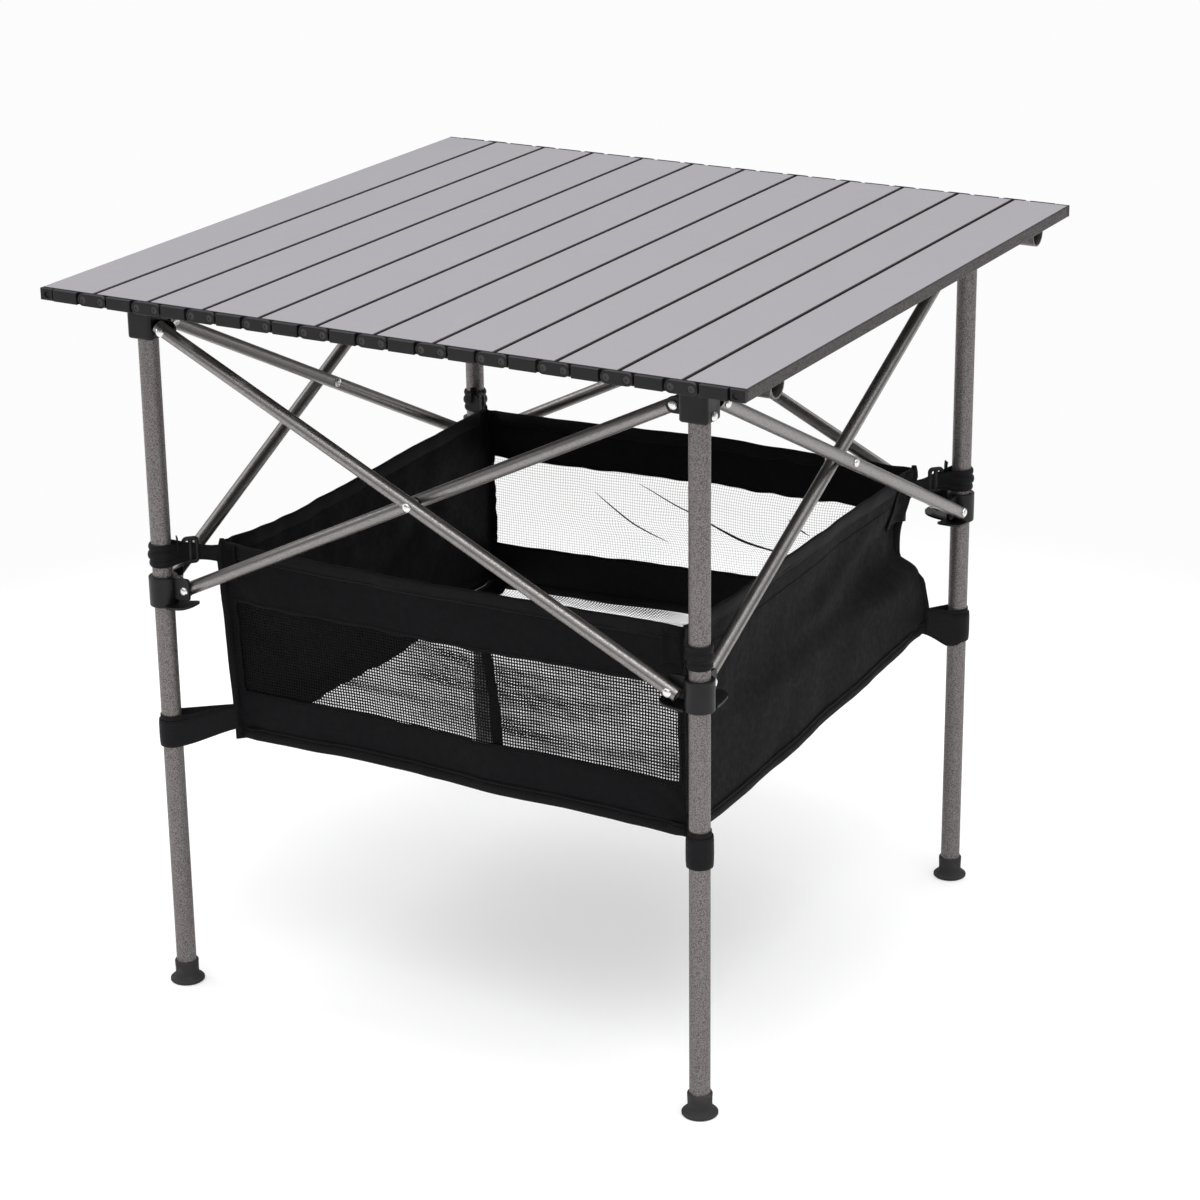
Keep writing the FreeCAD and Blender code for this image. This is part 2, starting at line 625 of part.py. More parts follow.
def basket_floor(name, side):
    """Front (side -1) or back (side 1) half of the cloth floor."""
    long = "basket_side - 2 * (basket_cloth + floor_gap)"
    deep = "basket_side / 2 - basket_cloth - 1.5 * floor_gap"
    middle = side * size("basket_side / 4 - basket_cloth / 2 - floor_gap / 4")
    raw = block(f"{name}_raw", long, deep, "basket_cloth", (0, middle, size("basket_low")))
    reach = size(f"({long}) / 2")
    return rounded(name, raw, "basket_round - basket_cloth - floor_gap",
                   lambda e: along(e, AXIS_Z) and abs(e.Vertexes[0].Y) > reach * 0.9)


# ---- placing the pieces -----------------------------------------------------------------

nodes = []


def node(label, pieces, base=ORIGIN, turn=None):
    """A named sub-part of the table: the given masters at a place of their own."""
    made = move(group(f"node_{label}", *pieces), base, turn)
    made.Label = label
    nodes.append(made)


def frame_node(label, pieces, base=ORIGIN, turn=None):
    """A node of the folding frame or its basket, which stand a little left of the top's centre."""
    node(label, pieces, base + Vector(size("frame_shift"), 0, 0), turn)


def place_top():
    """Slats and links of the roll-up top, and the crossbars beneath them."""
    middle = size("top_height - slat_thick / 2")
    pitch = size(f"{SLAT_WIDTH} + slat_gap")
    extrusion, pins = slat_extrusion(), [link_pin(side) for side in (-1, 1)]
    caps = {side: end_cap(f"end_cap_{side + 1}", side) for side in (-1, 0, 1)}
    half_turn = Rotation(AXIS_Z, 180)
    backs = {
        side: move(group(f"back_end_cap_{side + 1}", caps[-side]), ORIGIN, half_turn)
        for side in caps
    }
    bar_line = size("leg_spacing / 2")
    beside = size("crossbar_wide / 2 + stop_setback + stop_wide / 2")
    stops = [stop_block(f"stop_{side + 1}", side * bar_line - beside) for side in (-1, 1)]
    for i in range(SLAT_COUNT):
        side = {0: -1, SLAT_COUNT - 1: 1}.get(i, 0)
        pieces = [extrusion, caps[side], backs[side]] + (stops if side == 1 else [])
        across = (i - (SLAT_COUNT - 1) / 2) * pitch
        node(f"slat_{i + 1:02d}", pieces, (across, 0, middle))
    plate = link_plate()
    back = move(group("back_link", plate, *pins), ORIGIN, half_turn)
    for i in range(SLAT_COUNT - 1):
        across = (i - (SLAT_COUNT - 2) / 2) * pitch
        node(f"link_{i + 1:02d}", [plate, *pins, back], (across, 0, middle))
    for label, side in (("front", -1), ("back", 1)):
        node(f"crossbar_{label}", [crossbar(f"beam_{label}", side * bar_line)])


def place_legs():
    """Tube, cap, foot and slider at each corner, turned so that the ears point inboard."""
    half = -size("leg_spacing / 2")
    tubes = {side: leg_tube(side) for side in "xy"}
    caps = {side: cap(side) for side in "xy"}
    rubber, collar = foot(), slider()
    for corner, angle in CORNERS:
        turn = Rotation(AXIS_Z, angle)
        spot = turn.multVec(Vector(half, half, 0))
        rivet_side = "x" if angle % 180 == 0 else "y"
        frame_node(f"leg_tube_{corner}", [tubes[rivet_side]], spot, turn)
        frame_node(f"leg_cap_{corner}", [caps[rivet_side]], spot, turn)
        frame_node(f"foot_{corner}", [rubber], spot, turn)
        frame_node(f"slider_{corner}", [collar], spot, turn)


def place_scissors():
    """Two crossing bars with their rivets on each of the four sides."""
    slope = bar_reach()[1]
    tube = scissor_bar()
    sets = {kind: rivet_set(kind) for kind in ("outer", "inner")}
    high = size("(pivot_top + pivot_low) / 2")
    plane = -size("leg_spacing / 2")
    for side, angle in SIDES:
        turn = Rotation(AXIS_Z, angle)
        for kind, way in (("outer", 1), ("inner", -1)):
            tilt = turn.multiply(Rotation(AXIS_Y, way * slope))
            offset = plane - way * size(BAR_OFFSET)
            for name, piece, level in (("bar", tube, offset), ("rivets", sets[kind], plane)):
                spot = turn.multVec(Vector(0, level, high))
                frame_node(f"{name}_{side}_{kind}", [piece], spot, tilt)


def place_basket():
    frame_node("basket_walls", [basket_walls()])
    frame_node("basket_floor_front", [basket_floor("floor_front", -1)])
    frame_node("basket_floor_back", [basket_floor("floor_back", 1)])


def write_steps():
    """Checks every object and writes each node to its own file."""
    doc.recompute()
    for thing in doc.Objects:
        if "Invalid" in thing.State or "Error" in thing.State:
            raise RuntimeError(f"{thing.Name} did not compute: {thing.State}")
    os.makedirs("parts", exist_ok=True)
    for made in nodes:
        shape = made.Shape
        if shape.isNull() or not shape.isValid():
            raise RuntimeError(f"{made.Label} has no valid shape")
    for made in nodes:
        made.Shape.exportStep(f"parts/{made.Label}.step")


place_top()
place_legs()
place_scissors()
place_basket()
write_steps()
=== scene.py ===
import functools
import math

import bpy
from mathutils import Matrix, Vector, noise


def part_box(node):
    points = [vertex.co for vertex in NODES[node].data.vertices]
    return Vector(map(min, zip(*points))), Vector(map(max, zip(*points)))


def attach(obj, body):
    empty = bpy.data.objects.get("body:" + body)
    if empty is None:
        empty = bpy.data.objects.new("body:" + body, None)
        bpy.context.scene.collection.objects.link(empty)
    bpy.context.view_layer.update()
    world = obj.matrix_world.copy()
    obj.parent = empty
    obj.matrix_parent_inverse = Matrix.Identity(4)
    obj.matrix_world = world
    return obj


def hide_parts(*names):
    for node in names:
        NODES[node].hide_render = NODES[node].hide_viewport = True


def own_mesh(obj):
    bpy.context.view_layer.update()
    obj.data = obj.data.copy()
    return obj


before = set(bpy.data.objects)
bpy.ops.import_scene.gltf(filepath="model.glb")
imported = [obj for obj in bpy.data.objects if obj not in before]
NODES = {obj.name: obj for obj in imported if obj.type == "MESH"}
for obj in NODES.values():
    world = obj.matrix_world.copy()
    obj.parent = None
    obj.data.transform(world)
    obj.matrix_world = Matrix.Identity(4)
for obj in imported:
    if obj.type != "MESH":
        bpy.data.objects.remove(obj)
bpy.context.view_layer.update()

# Camp kitchen table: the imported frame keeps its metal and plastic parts, which get their
# finishes here. The cloth basket, its nets, bindings, straps and buckles are built here.
# Lengths are metres unless a name ends in _MM or a comment says mm.

MM = 0.001
UP = Vector((0, 0, 1))


# ---- shader trees ----

class Finish:
    """A material under construction: a Principled shader and short calls to feed it."""

    def __init__(self, name, colour, roughness, metallic=0.0, **inputs):
        self.material = bpy.data.materials.new(name)
        self.material.use_nodes = True
        self.nodes = self.material.node_tree.nodes
        self.links = self.material.node_tree.links
        self.shader = self.nodes["Principled BSDF"]
        self.place = self.add("TexCoord").outputs["Object"]
        self.set("Base Color", (*colour, 1.0))
        self.set("Roughness", roughness)
        self.set("Metallic", metallic)
        for key, value in inputs.items():
            self.set(key.replace("_", " "), value)

    def add(self, kind, **properties):
        node = self.nodes.new("ShaderNode" + kind)
        for key, value in properties.items():
            setattr(node, key, value)
        return node

    def put(self, socket, value):
        if isinstance(value, bpy.types.NodeSocket):
            self.links.new(value, socket)
        else:
            socket.default_value = value

    def feed(self, node, **inputs):
        for key, value in inputs.items():
            self.put(node.inputs[key], value)
        return node.outputs

    def set(self, name, value):
        self.put(self.shader.inputs[name], value)

    def noise(self, scale, detail=2.0, place=None):
        node = self.add("TexNoise")
        return self.feed(node, Vector=place or self.place, Scale=scale, Detail=detail)["Fac"]

    def cells(self, scale):
        node = self.add("TexVoronoi", feature="SMOOTH_F1")
        return self.feed(node, Vector=self.place, Scale=scale)["Distance"]

    def calc(self, operation, *values):
        node = self.add("Math", operation=operation)
        for socket, value in zip(node.inputs, values):
            self.put(socket, value)
        return node.outputs[0]

    def spread(self, value, low, high, to_low=0.0, to_high=1.0):
        node = self.add("MapRange", interpolation_type="SMOOTHSTEP")
        for socket, given in zip(node.inputs, (value, low, high, to_low, to_high)):
            self.put(socket, given)
        return node.outputs["Result"]

    def blend(self, share, first, second):
        node = self.add("Mix", data_type="RGBA")
        share_in, first_in, second_in = (node.inputs[i] for i in (0, 6, 7))
        self.put(share_in, share)
        self.put(first_in, first)
        self.put(second_in, second)
        return node.outputs[2]

    def split(self, place=None):
        node = self.add("SeparateXYZ")
        self.put(node.inputs[0], place or self.place)
        return node.outputs

    def bump(self, height, depth, strength):
        node = self.add("Bump")
        self.feed(node, Distance=depth, Strength=strength, Height=height)
        if self.shader.inputs["Normal"].is_linked:
            self.put(node.inputs["Normal"], self.shader.inputs["Normal"].links[0].from_socket)
        self.set("Normal", node.outputs["Normal"])


WHITE = (1.0, 1.0, 1.0, 1.0)
DUST = (0.11, 0.095, 0.085, 1.0)
# shares of a slat's width, from its middle, between which painted shade of the gaps between slats
# sets in and is full
GAP_SHADE_START, GAP_SHADE_FULL = 0.480, 0.486
# bunching of a slack net's filaments: turn, and scale along each axis
BUNCH_TURN = (0.0, 0.0, 0.6)
BUNCH_SCALE = (5.0, 19.0, 19.0)
FABRIC_SHEEN = 0.02


def shade(colour, factor):
    return tuple(channel * factor for channel in colour[:3]) + (1.0,)


def powder_coat(name, colour, roughness):
    """Fine matte paint on the tops of the slats: grain, faint clouding, rub marks, and painted
    shade along a slat's long edges, for the shadow in the gaps between the slats."""
    f = Finish(name, colour, roughness, Specular_IOR_Level=0.4)
    grain = f.noise(1900, 1.0)
    cloud = f.noise(14, 3.0)
    rub = f.spread(f.noise(60, 5.0), 0.62, 0.8)
    tone = f.blend(f.spread(grain, 0.3, 0.7), shade(colour, 0.90), shade(colour, 1.08))
    tone = f.blend(f.calc("MULTIPLY", cloud, 0.35), tone, shade(colour, 0.93))
    tone = f.blend(f.calc("MULTIPLY", rub, 0.18), tone, shade(colour, 1.2))
    across = f.split(f.add("TexCoord").outputs["Generated"])[0]
    from_middle = f.calc("ABSOLUTE", f.calc("SUBTRACT", across, 0.5))
    # painted shade: the top coat turns nearly black at the long edges, for the shadow in the gaps
    # between slats
    painted_gap_shade = f.spread(from_middle, GAP_SHADE_START, GAP_SHADE_FULL)
    f.set("Base Color", f.blend(painted_gap_shade, tone, shade(colour, 0.04)))
    f.set("Roughness", f.spread(cloud, 0.3, 0.7, roughness - 0.05, roughness + 0.07))
    f.bump(grain, 0.00006, 0.6)
    return f.material


def hammertone(name, colour, roughness, metallic, speck, depth):
    """Hammered paint: small dimples with dark speckles about a millimetre across."""
    f = Finish(name, colour, roughness, metallic, Specular_IOR_Level=0.55)
    dimple = f.cells(980)
    fine = f.noise(1500, 2.0)
    patch = f.spread(f.calc("ADD", dimple, f.calc("MULTIPLY", fine, 0.6)), 0.62, 0.88)
    cloud = f.noise(22, 3.0)
    tone = f.blend(patch, shade(colour, 1.05), shade(colour, speck))
    tone = f.blend(f.calc("MULTIPLY", cloud, 0.3), tone, shade(colour, 0.86))
    f.set("Base Color", tone)
    f.set("Roughness", f.spread(patch, 0.0, 1.0, roughness, roughness + 0.16))
    f.bump(dimple, depth, 0.75)
    f.bump(f.noise(240, 2.0), depth, 0.35)
    return f.material


def moulded(name, colour, roughness):
    """Moulded nylon: spark-eroded grain, slightly uneven gloss, scuffed lighter spots."""
    f = Finish(name, colour, roughness, Specular_IOR_Level=0.32)
    grain = f.noise(2300, 2.0)
    scuff = f.spread(f.noise(130, 6.0), 0.6, 0.78)
    f.set("Base Color", f.blend(f.calc("MULTIPLY", scuff, 0.5), (*colour, 1.0), shade(colour, 2.1)))
    f.set("Roughness", f.spread(f.noise(45, 4.0), 0.3, 0.7, roughness - 0.07, roughness + 0.1))
    f.bump(grain, 0.00005, 0.5)
    f.bump(f.noise(90, 2.0), 0.0002, 0.15)
    return f.material


def bright_metal(name, colour, roughness):
    """Zinc-plated steel: turned marks, dull spots, a few darker stains."""
    f = Finish(name, colour, roughness, 1.0)
    fine = f.noise(1700, 3.0)
    stain = f.spread(f.noise(420, 4.0), 0.55, 0.75)
    stained = f.calc("MULTIPLY", stain, 0.45)
    f.set("Base Color", f.blend(stained, (*colour, 1.0), shade(colour, 0.45)))
    f.set("Roughness", f.spread(fine, 0.3, 0.7, roughness, roughness + 0.18))
    f.bump(fine, 0.00004, 0.5)
    return f.material


def rubber(name, colour):
    """Matte foot rubber with dust in its pores."""
    f = Finish(name, colour, 0.8, Specular_IOR_Level=0.3)
    pore = f.noise(1400, 3.0)
    dust = f.spread(f.noise(70, 4.0), 0.5, 0.8)
    dusty = f.calc("MULTIPLY", dust, 0.4)
    f.set("Base Color", f.blend(dusty, (*colour, 1.0), DUST))
    f.bump(pore, 0.0001, 0.6)
    return f.material


def weave(name, colour, roughness, pitch, depth, flat=False, cover=()):
    """Plain-woven cloth. The thread pattern runs along the wall, or across a flat floor.
    A cover (thinnest, densest) lets light through between the filaments."""
    f = Finish(name, colour, roughness, Sheen_Weight=FABRIC_SHEEN, Sheen_Roughness=0.45)
    f.set("Specular IOR Level", 0.08)
    if cover:
        turned = f.feed(f.add("Mapping"), Vector=f.place, Rotation=BUNCH_TURN, Scale=BUNCH_SCALE)
        bunched = f.noise(1.0, 4.0, turned[0])
        f.set("Alpha", f.spread(bunched, 0.38, 0.66, *cover))
    x, y, z = f.split()
    along, up = (x, y) if flat else (f.calc("ADD", x, y), z)
    turns = 2 * math.pi / pitch
    warp = f.calc("SINE", f.calc("MULTIPLY", along, turns))
    weft = f.calc("SINE", f.calc("MULTIPLY", up, turns))
    threads = f.calc("MULTIPLY", warp, weft)
    slub = f.noise(160, 4.0)
    tone = f.blend(f.spread(threads, -1.0, 1.0), shade(colour, 0.7), shade(colour, 1.35))
    f.set("Base Color", f.blend(f.calc("MULTIPLY", slub, 0.5), tone, shade(colour, 1.2)))
    f.set("Roughness", f.spread(slub, 0.3, 0.7, roughness - 0.06, roughness + 0.08))
    f.bump(threads, depth, 0.6)
    f.bump(slub, 0.0005, 0.35)
    return f.material


def ribbed(name, colour, roughness, pitch):
    """Webbing and binding tape: ribs across the height, flecked threads."""
    f = Finish(name, colour, roughness, Sheen_Weight=FABRIC_SHEEN, Sheen_Roughness=0.4)
    f.set("Specular IOR Level", 0.1)
    height = f.split()[2]
    ribs = f.calc("SINE", f.calc("MULTIPLY", height, 2 * math.pi / pitch))
    fleck = f.noise(900, 3.0)
    tone = f.blend(f.spread(ribs, -1.0, 1.0), shade(colour, 0.65), shade(colour, 1.4))
    f.set("Base Color", f.blend(f.calc("MULTIPLY", fleck, 0.5), tone, shade(colour, 1.7)))
    f.bump(ribs, 0.00018, 0.7)
    f.bump(fleck, 0.0001, 0.4)
    return f.material


SLAT_TOP = powder_coat("slat_top_coat", (0.272, 0.264, 0.282), 0.52)
# painted shade: the slat sides keep the hammered coat, but painted far darker than the tops, for
# the shade on them and in the gaps between slats
SHADED_SLAT_SIDE = hammertone("slat_side_coat_painted_shade", (0.046, 0.039, 0.037), 0.42, 0.25, 0.4, 0.00016)
TUBE = hammertone("hammered_tube", (0.240, 0.219, 0.213), 0.40, 0.6, 0.45, 0.00016)
BAR = hammertone("hammered_bar", (0.30, 0.286, 0.277), 0.29, 0.97, 0.84, 0.00003)
PLASTIC = moulded("black_nylon", (0.0062, 0.0060, 0.0065), 0.4)
PIN = bright_metal("dark_pin", (0.075, 0.072, 0.070), 0.3)
RIVET = bright_metal("zinc_rivet", (0.86, 0.85, 0.84), 0.16)
SOLE = rubber("foot_rubber", (0.034, 0.033, 0.034))
CLOTH = weave("basket_polyester", (0.0055, 0.0051, 0.0060), 0.7, 0.0009, 0.00008)
# the three nets are one black net: the front net is painted darker than the cloth, as painted
# shade, and the back and floor nets lighter, as painted light from the bright ground behind them;
# the back pleats use the dark tone
NET_SIDE = weave("net_threads", (0.0022, 0.0021, 0.0024), 0.6, 0.00145, 0.00005)
NET_SHEER = weave("sheer_net_threads", (0.012, 0.0115, 0.013), 0.6, 0.00145, 0.00005,
                  cover=(0.30, 0.38))
NET_FLAT = weave("floor_net_threads", (0.02, 0.0195, 0.0215), 0.6, 0.0017, 0.00005, flat=True,
                 cover=(0.35, 1.0))
TAPE = ribbed("binding_tape", (0.0062, 0.0058, 0.0066), 0.6, 0.0011)
WEBBING = ribbed("strap_webbing", (0.0085, 0.0080, 0.0090), 0.55, 0.0013)
THREAD = ribbed("sewing_thread", (0.0075, 0.0070, 0.0080), 0.55, 0.0005)


def leg_axis(corner):
    """Where the centre line of a leg meets the ground."""
    low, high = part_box(f"foot_{corner}")
    return Vector(((low.x + high.x) / 2, (low.y + high.y) / 2, 0))


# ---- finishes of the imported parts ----

def paint(name, finishes, choose=lambda c, n: 0):
    """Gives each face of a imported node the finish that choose(centre, normal) picks."""
    mesh = NODES[name].data
    mesh.materials.clear()
    for finish in finishes:
        mesh.materials.append(finish)
    for face in mesh.polygons:
        face.material_index = choose(face.center, face.normal)


LEG_RADIUS = 9.5 * MM
# depth of a slat's end cap, a little short so that it leaves out the end of the metal
END_CAP_DEEP = 5.95 * MM
# upward part of a face's normal from which it counts as the top of a slat; the rest, rounded edges
# too, get the side finish with its painted shade
TOP_FACING = 0.93
# half the distance between a link's two pins, and a little over the radius of a pin's head
PIN_OFFSET, PIN_HEAD = 9.5 * MM, 3.215 * MM
# a little over half the spacer between crossing bars, and a reach that leaves out end rivets
SPACER_HALF, SPACER_REACH = 1.45 * MM, 60 * MM
# side of the frame, axis that it faces along, and a corner on it
SIDES = (("front", 1, "fl"), ("right", 0, "fr"), ("back", 1, "br"), ("left", 0, "bl"))


def paint_slats():
    low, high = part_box("slat_02")
    end = high.y - END_CAP_DEEP

    def choose(c, n):
        if abs(c.y) > end or c.z < low.z - 0.05 * MM:
            return 2
        return 0 if n.z > TOP_FACING else 1

    for name in (n for n in NODES if n.startswith("slat_")):
        paint(name, (SLAT_TOP, SHADED_SLAT_SIDE, PLASTIC), choose)


def paint_links():
    for name in (n for n in NODES if n.startswith("link_")):
        low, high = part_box(name)
        middle = (low + high) / 2

        def choose(c, n, middle=middle):
            across = abs(abs(c.x - middle.x) - PIN_OFFSET)
            return 1 if math.hypot(across, c.z - middle.z) < PIN_HEAD else 0

        paint(name, (PLASTIC, PIN), choose)


def paint_legs():
    for corner in ("fl", "fr", "br", "bl"):
        axis = leg_axis(corner)
        paint(f"leg_tube_{corner}", (TUBE, RIVET), lambda c, n: (
            1 if math.hypot(c.x - axis.x, c.y - axis.y) > LEG_RADIUS + 0.1 * MM else 0))
        paint(f"leg_cap_{corner}", (PLASTIC,))
        paint(f"slider_{corner}", (PLASTIC,))
        paint(f"foot_{corner}", (SOLE,))


def paint_scissors():
    for side, axis, corner in SIDES:
        plane = leg_axis(corner)[axis]
        for kind in ("outer", "inner"):
            paint(f"bar_{side}_{kind}", (BAR,))
            low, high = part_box(f"rivets_{side}_{kind}")
            middle = (low + high) / 2

            def choose(c, n):
                between = abs(c[axis] - plane) < SPACER_HALF
                return 1 if between and (c - middle).length < SPACER_REACH else 0

            paint(f"rivets_{side}_{kind}", (RIVET, PLASTIC), choose)
    for name in ("crossbar_front", "crossbar_back"):
        paint(name, (TUBE,))


paint_slats()
paint_links()
paint_legs()
paint_scissors()


# ---- mesh helpers ----

def place(name, data):
    """New object of the scene that holds data."""
    thing = bpy.data.objects.new(name, data)
    bpy.context.scene.collection.objects.link(thing)
    return thing


def make(name, points, faces, finish, marks=None):
    """New object from points and faces; finish is one material, or several with marks."""
    mesh = bpy.data.meshes.new(name)
    mesh.from_pydata([tuple(p) for p in points], [], faces)
    for one in finish if isinstance(finish, tuple) else (finish,):
        mesh.materials.append(one)
    if marks:
        mesh.polygons.foreach_set("material_index", marks)
    mesh.polygons.foreach_set("use_smooth", [True] * len(faces))
    mesh.validate()
    mesh.update()
    return place(name, mesh)


def settle(thing):
    """Turns the modifiers of an object into its mesh."""
    bpy.context.view_layer.update()
    graph = bpy.context.evaluated_depsgraph_get()
    final = bpy.data.meshes.new_from_object(thing.evaluated_get(graph), depsgraph=graph)
    thing.modifiers.clear()
    thing.data = final
    return thing


def thicken(thing, thickness):
    solid = thing.modifiers.new("cloth", "SOLIDIFY")
    solid.thickness = thickness
    solid.offset = 0.0
    solid.use_even_offset = False
    return settle(thing)


STITCH_THICK = 0.45 * MM


class Parts:
    """Points, faces and finish numbers gathered from several small pieces of one object."""

    def __init__(self):
        self.points, self.faces, self.marks = [], [], []

    def add(self, points, faces, mark=0):
        start = len(self.points)
        self.points.extend(points)
        self.faces.extend(tuple(i + start for i in face) for face in faces)
        self.marks.extend([mark] * len(faces))

    def loft(self, rings, mark=0, closed=False):
        """Skin over rings of equally many points, with flat ends unless it closes on itself."""
        count = len(rings[0])
        points = [p for ring in rings for p in ring]
        faces = []
        spans = len(rings) if closed else len(rings) - 1
        for i in range(spans):
            here, there = i * count, (i + 1) % len(rings) * count
            for j in range(count):
                k = (j + 1) % count
                faces.append((here + j, here + k, there + k, there + j))
        if not closed:
            faces.append(tuple(reversed(range(count))))
            faces.append(tuple((len(rings) - 1) * count + j for j in range(count)))
        self.add(points, faces, mark)

    def stitch(self, start, end, normal):
        """One spindle-shaped stitch lying on the cloth."""
        along = (end - start).normalized()
        across = along.cross(normal).normalized()
        rings = []
        for share, size in ((0.0, 0.35), (0.3, 1.0), (0.7, 1.0), (1.0, 0.35)):
            middle = start.lerp(end, share) + normal * STITCH_THICK * 0.35
            rings.append([
                middle + across * (STITCH_THICK * size * a) + normal * (STITCH_THICK * size * b)
                for a, b in ((1, 0), (0, 1), (-1, 0), (0, -1))
            ])
        self.loft(rings, mark=1)

    def build(self, name, finish):
        return make(name, self.points, self.faces, finish, self.marks)


# ---- shape of the basket ----

floor_low, floor_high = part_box("basket_floor_front")
CENTRE = Vector(((floor_low.x + floor_high.x) / 2, 0, 0))
# half the basket's width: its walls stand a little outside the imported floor
HALF = (floor_high.x - floor_low.x) / 2 + 2.5 * MM
BASE = floor_low.z
RISE = 190 * MM
SIDE = 2 * HALF
CORNERS = {"fl": (-1, -1), "fr": (1, -1), "br": (1, 1), "bl": (-1, 1)}
WALLS = {
    # start corner, end corner, outward direction
    "front": ("fl", "fr", Vector((0, -1, 0))),
    "right": ("fr", "br", Vector((1, 0, 0))),
    "back": ("br", "bl", Vector((0, 1, 0))),
    "left": ("bl", "fl", Vector((-1, 0, 0))),
}
# heights above the nominal rim and base at five even stations along each wall, in mm
RIM_MM = {
    "front": (-4, -7, -6, -3, 0), "right": (1, 4, 4, 2, 0),
    "back": (-1, -3, -4, -8, -10), "left": (-8, -11, -14, -13, -3),
}
HEM_MM = {
    "front": (-9, -5, -5, -1, 0), "right": (-4, -1, 7, 13, 18),
    "back": (17, 2, -8, -12, -13), "left": (-6, -8, -8, -7, -9),
}
# outward belly at five even stations along each wall, at the hem and at the rim, in mm
LOW_BELLY_MM = {"front": (0, -2, -2, 0, 1), "right": (1, 2, 2, 2, 0),
                "back": (0, 4, 5, 4, 0), "left": (0, 4, 6, 4, 0)}
HIGH_BELLY_MM = {"front": (0, -2, -3, -2, 0), "right": (0, 4, 5, 3, 0),
                 "back": (0, 2, 3, 2, 0), "left": (0, 2, 3, 2, 0)}
CREASE_MM = {"front": 2.2, "right": 2.1, "back": 3.2, "left": 3.8}
# how far each corner seam is pulled in at eleven even heights from the hem to the rim, in mm
PULLED_IN_MM = {
    "fl": (25, 24, 23, 22, 21, 20, 19.5, 18, 17, 16, 15.5),
    "fr": (-7, -7, -6, -5, -4, -3, -2, -1, 0, 0, 0),
    "br": (-6, -6, -5, -2, 4, 25, 28, 27, 20, 14, 9),
    "bl": (8, 9, 10, 11, 12, 12, 11, 9, 8, 6, 5),
}
# soft folds: wall, ends as shares along and up the wall, height and width in mm
FOLDS = (
    ("back", (0.80, 0.68), (0.54, 0.26), 4.0, 5.0),
    ("back", (0.63, 0.68), (0.32, 0.30), 4.0, 5.0),
    ("right", (0.93, 0.80), (0.45, 0.52), 5.0, 16.0),
    ("right", (0.97, 0.30), (0.52, 0.62), 6.0, 20.0),
    ("left", (0.10, 0.75), (0.50, 0.35), 5.0, 16.0),
    ("front", (0.04, 0.15), (0.30, 0.45), 2.0, 10.0),
)
# sharp pleats of the back net: ends as shares along and up the wall, and depth in mm
PLEATS = (
    ((0.615, 0.71), (0.270, 0.39), 4.2),
    ((0.245, 0.63), (0.200, 0.55), 3.4),
    ((0.725, 0.64), (0.570, 0.40), 2.0),
)
# windows: lower and upper edge as shares of the wall's height
WINDOWS = {"front": (0.245, 0.705), "back": (0.256, 0.754)}
WINDOW_EDGE = 8 * MM / SIDE
# shares of the wall's height where the upper and lower straps pull on a corner
PULLS = (0.08, 0.93)


def station(values, share):
    """Smooth reading of evenly spaced values."""
    spot = min(max(share, 0.0), 1.0) * (len(values) - 1)
    i = min(int(spot), len(values) - 2)
    t = spot - i
    before, after = values[max(i - 1, 0)], values[min(i + 2, len(values) - 1)]
    a, b = values[i], values[i + 1]
    return 0.5 * (2 * a + (b - before) * t + (2 * before - 5 * a + 4 * b - after) * t * t
                  + (3 * a - before - 3 * b + after) * t ** 3)


def corner_spot(corner, up):
    """Where two walls meet, at a share of the wall's height."""
    x, y = CORNERS[corner]
    inward = station(PULLED_IN_MM[corner], up) * MM / math.sqrt(2)
    return CENTRE + Vector((x * (HALF - inward), y * (HALF - inward), 0))


def ease(value, low, high):
    t = min(max((value - low) / (high - low), 0.0), 1.0)
    return t * t * (3 - 2 * t)


def creases(wall, along, up):
    """Outward push of the cloth: broad waves, gathers at the straps and single folds, in mm."""
    seed = list(WALLS).index(wall) * 7.3
    edge = ease(along, 0.0, 0.07) * ease(1 - along, 0.0, 0.07)
    waves = noise.noise(Vector((along * 3.4 + seed, up * 1.6, 0.3)))
    waves += 0.5 * noise.noise(Vector((along * 8.0 + seed, up * 3.2 - along * 2.0, 4.1)))
    waves += 0.22 * noise.noise(Vector((along * 21.0, up * 7.0 + seed, 8.7)))
    push = 1.6 * CREASE_MM[wall] * waves * edge
    for end in (0.0, 1.0):
        for level in PULLS:
            far_x, far_y = abs(along - end) * SIDE / MM, (up - level) * RISE / MM
            reach = math.hypot(far_x, far_y)
            fan = math.sin(7.5 * math.atan2(far_y, far_x + 4.0) + seed + end)
            push += 0.5 * CREASE_MM[wall] * fan * math.exp(-reach / 55.0) * ease(reach, 0, 16)
    for where, start, stop, height, width in FOLDS:
        if where == wall:
            push += height * fold(along, up, start, stop, width)
    return push * ease(along, -0.01, 0.02) * ease(1 - along, -0.01, 0.02)


def fold(along, up, start, stop, width):
    """Share of a fold's height at a spot: full on its line, fading at both ends."""
    x, y = along * SIDE / MM, up * RISE / MM
    x0, y0 = start[0] * SIDE / MM, start[1] * RISE / MM
    dx, dy = stop[0] * SIDE / MM - x0, stop[1] * RISE / MM - y0
    span = dx * dx + dy * dy
    t = min(max(((x - x0) * dx + (y - y0) * dy) / span, 0.0), 1.0)
    off = math.hypot(x - x0 - t * dx, y - y0 - t * dy)
    return math.exp(-(off / width) ** 2) * (0.25 + 0.75 * math.sin(math.pi * t))


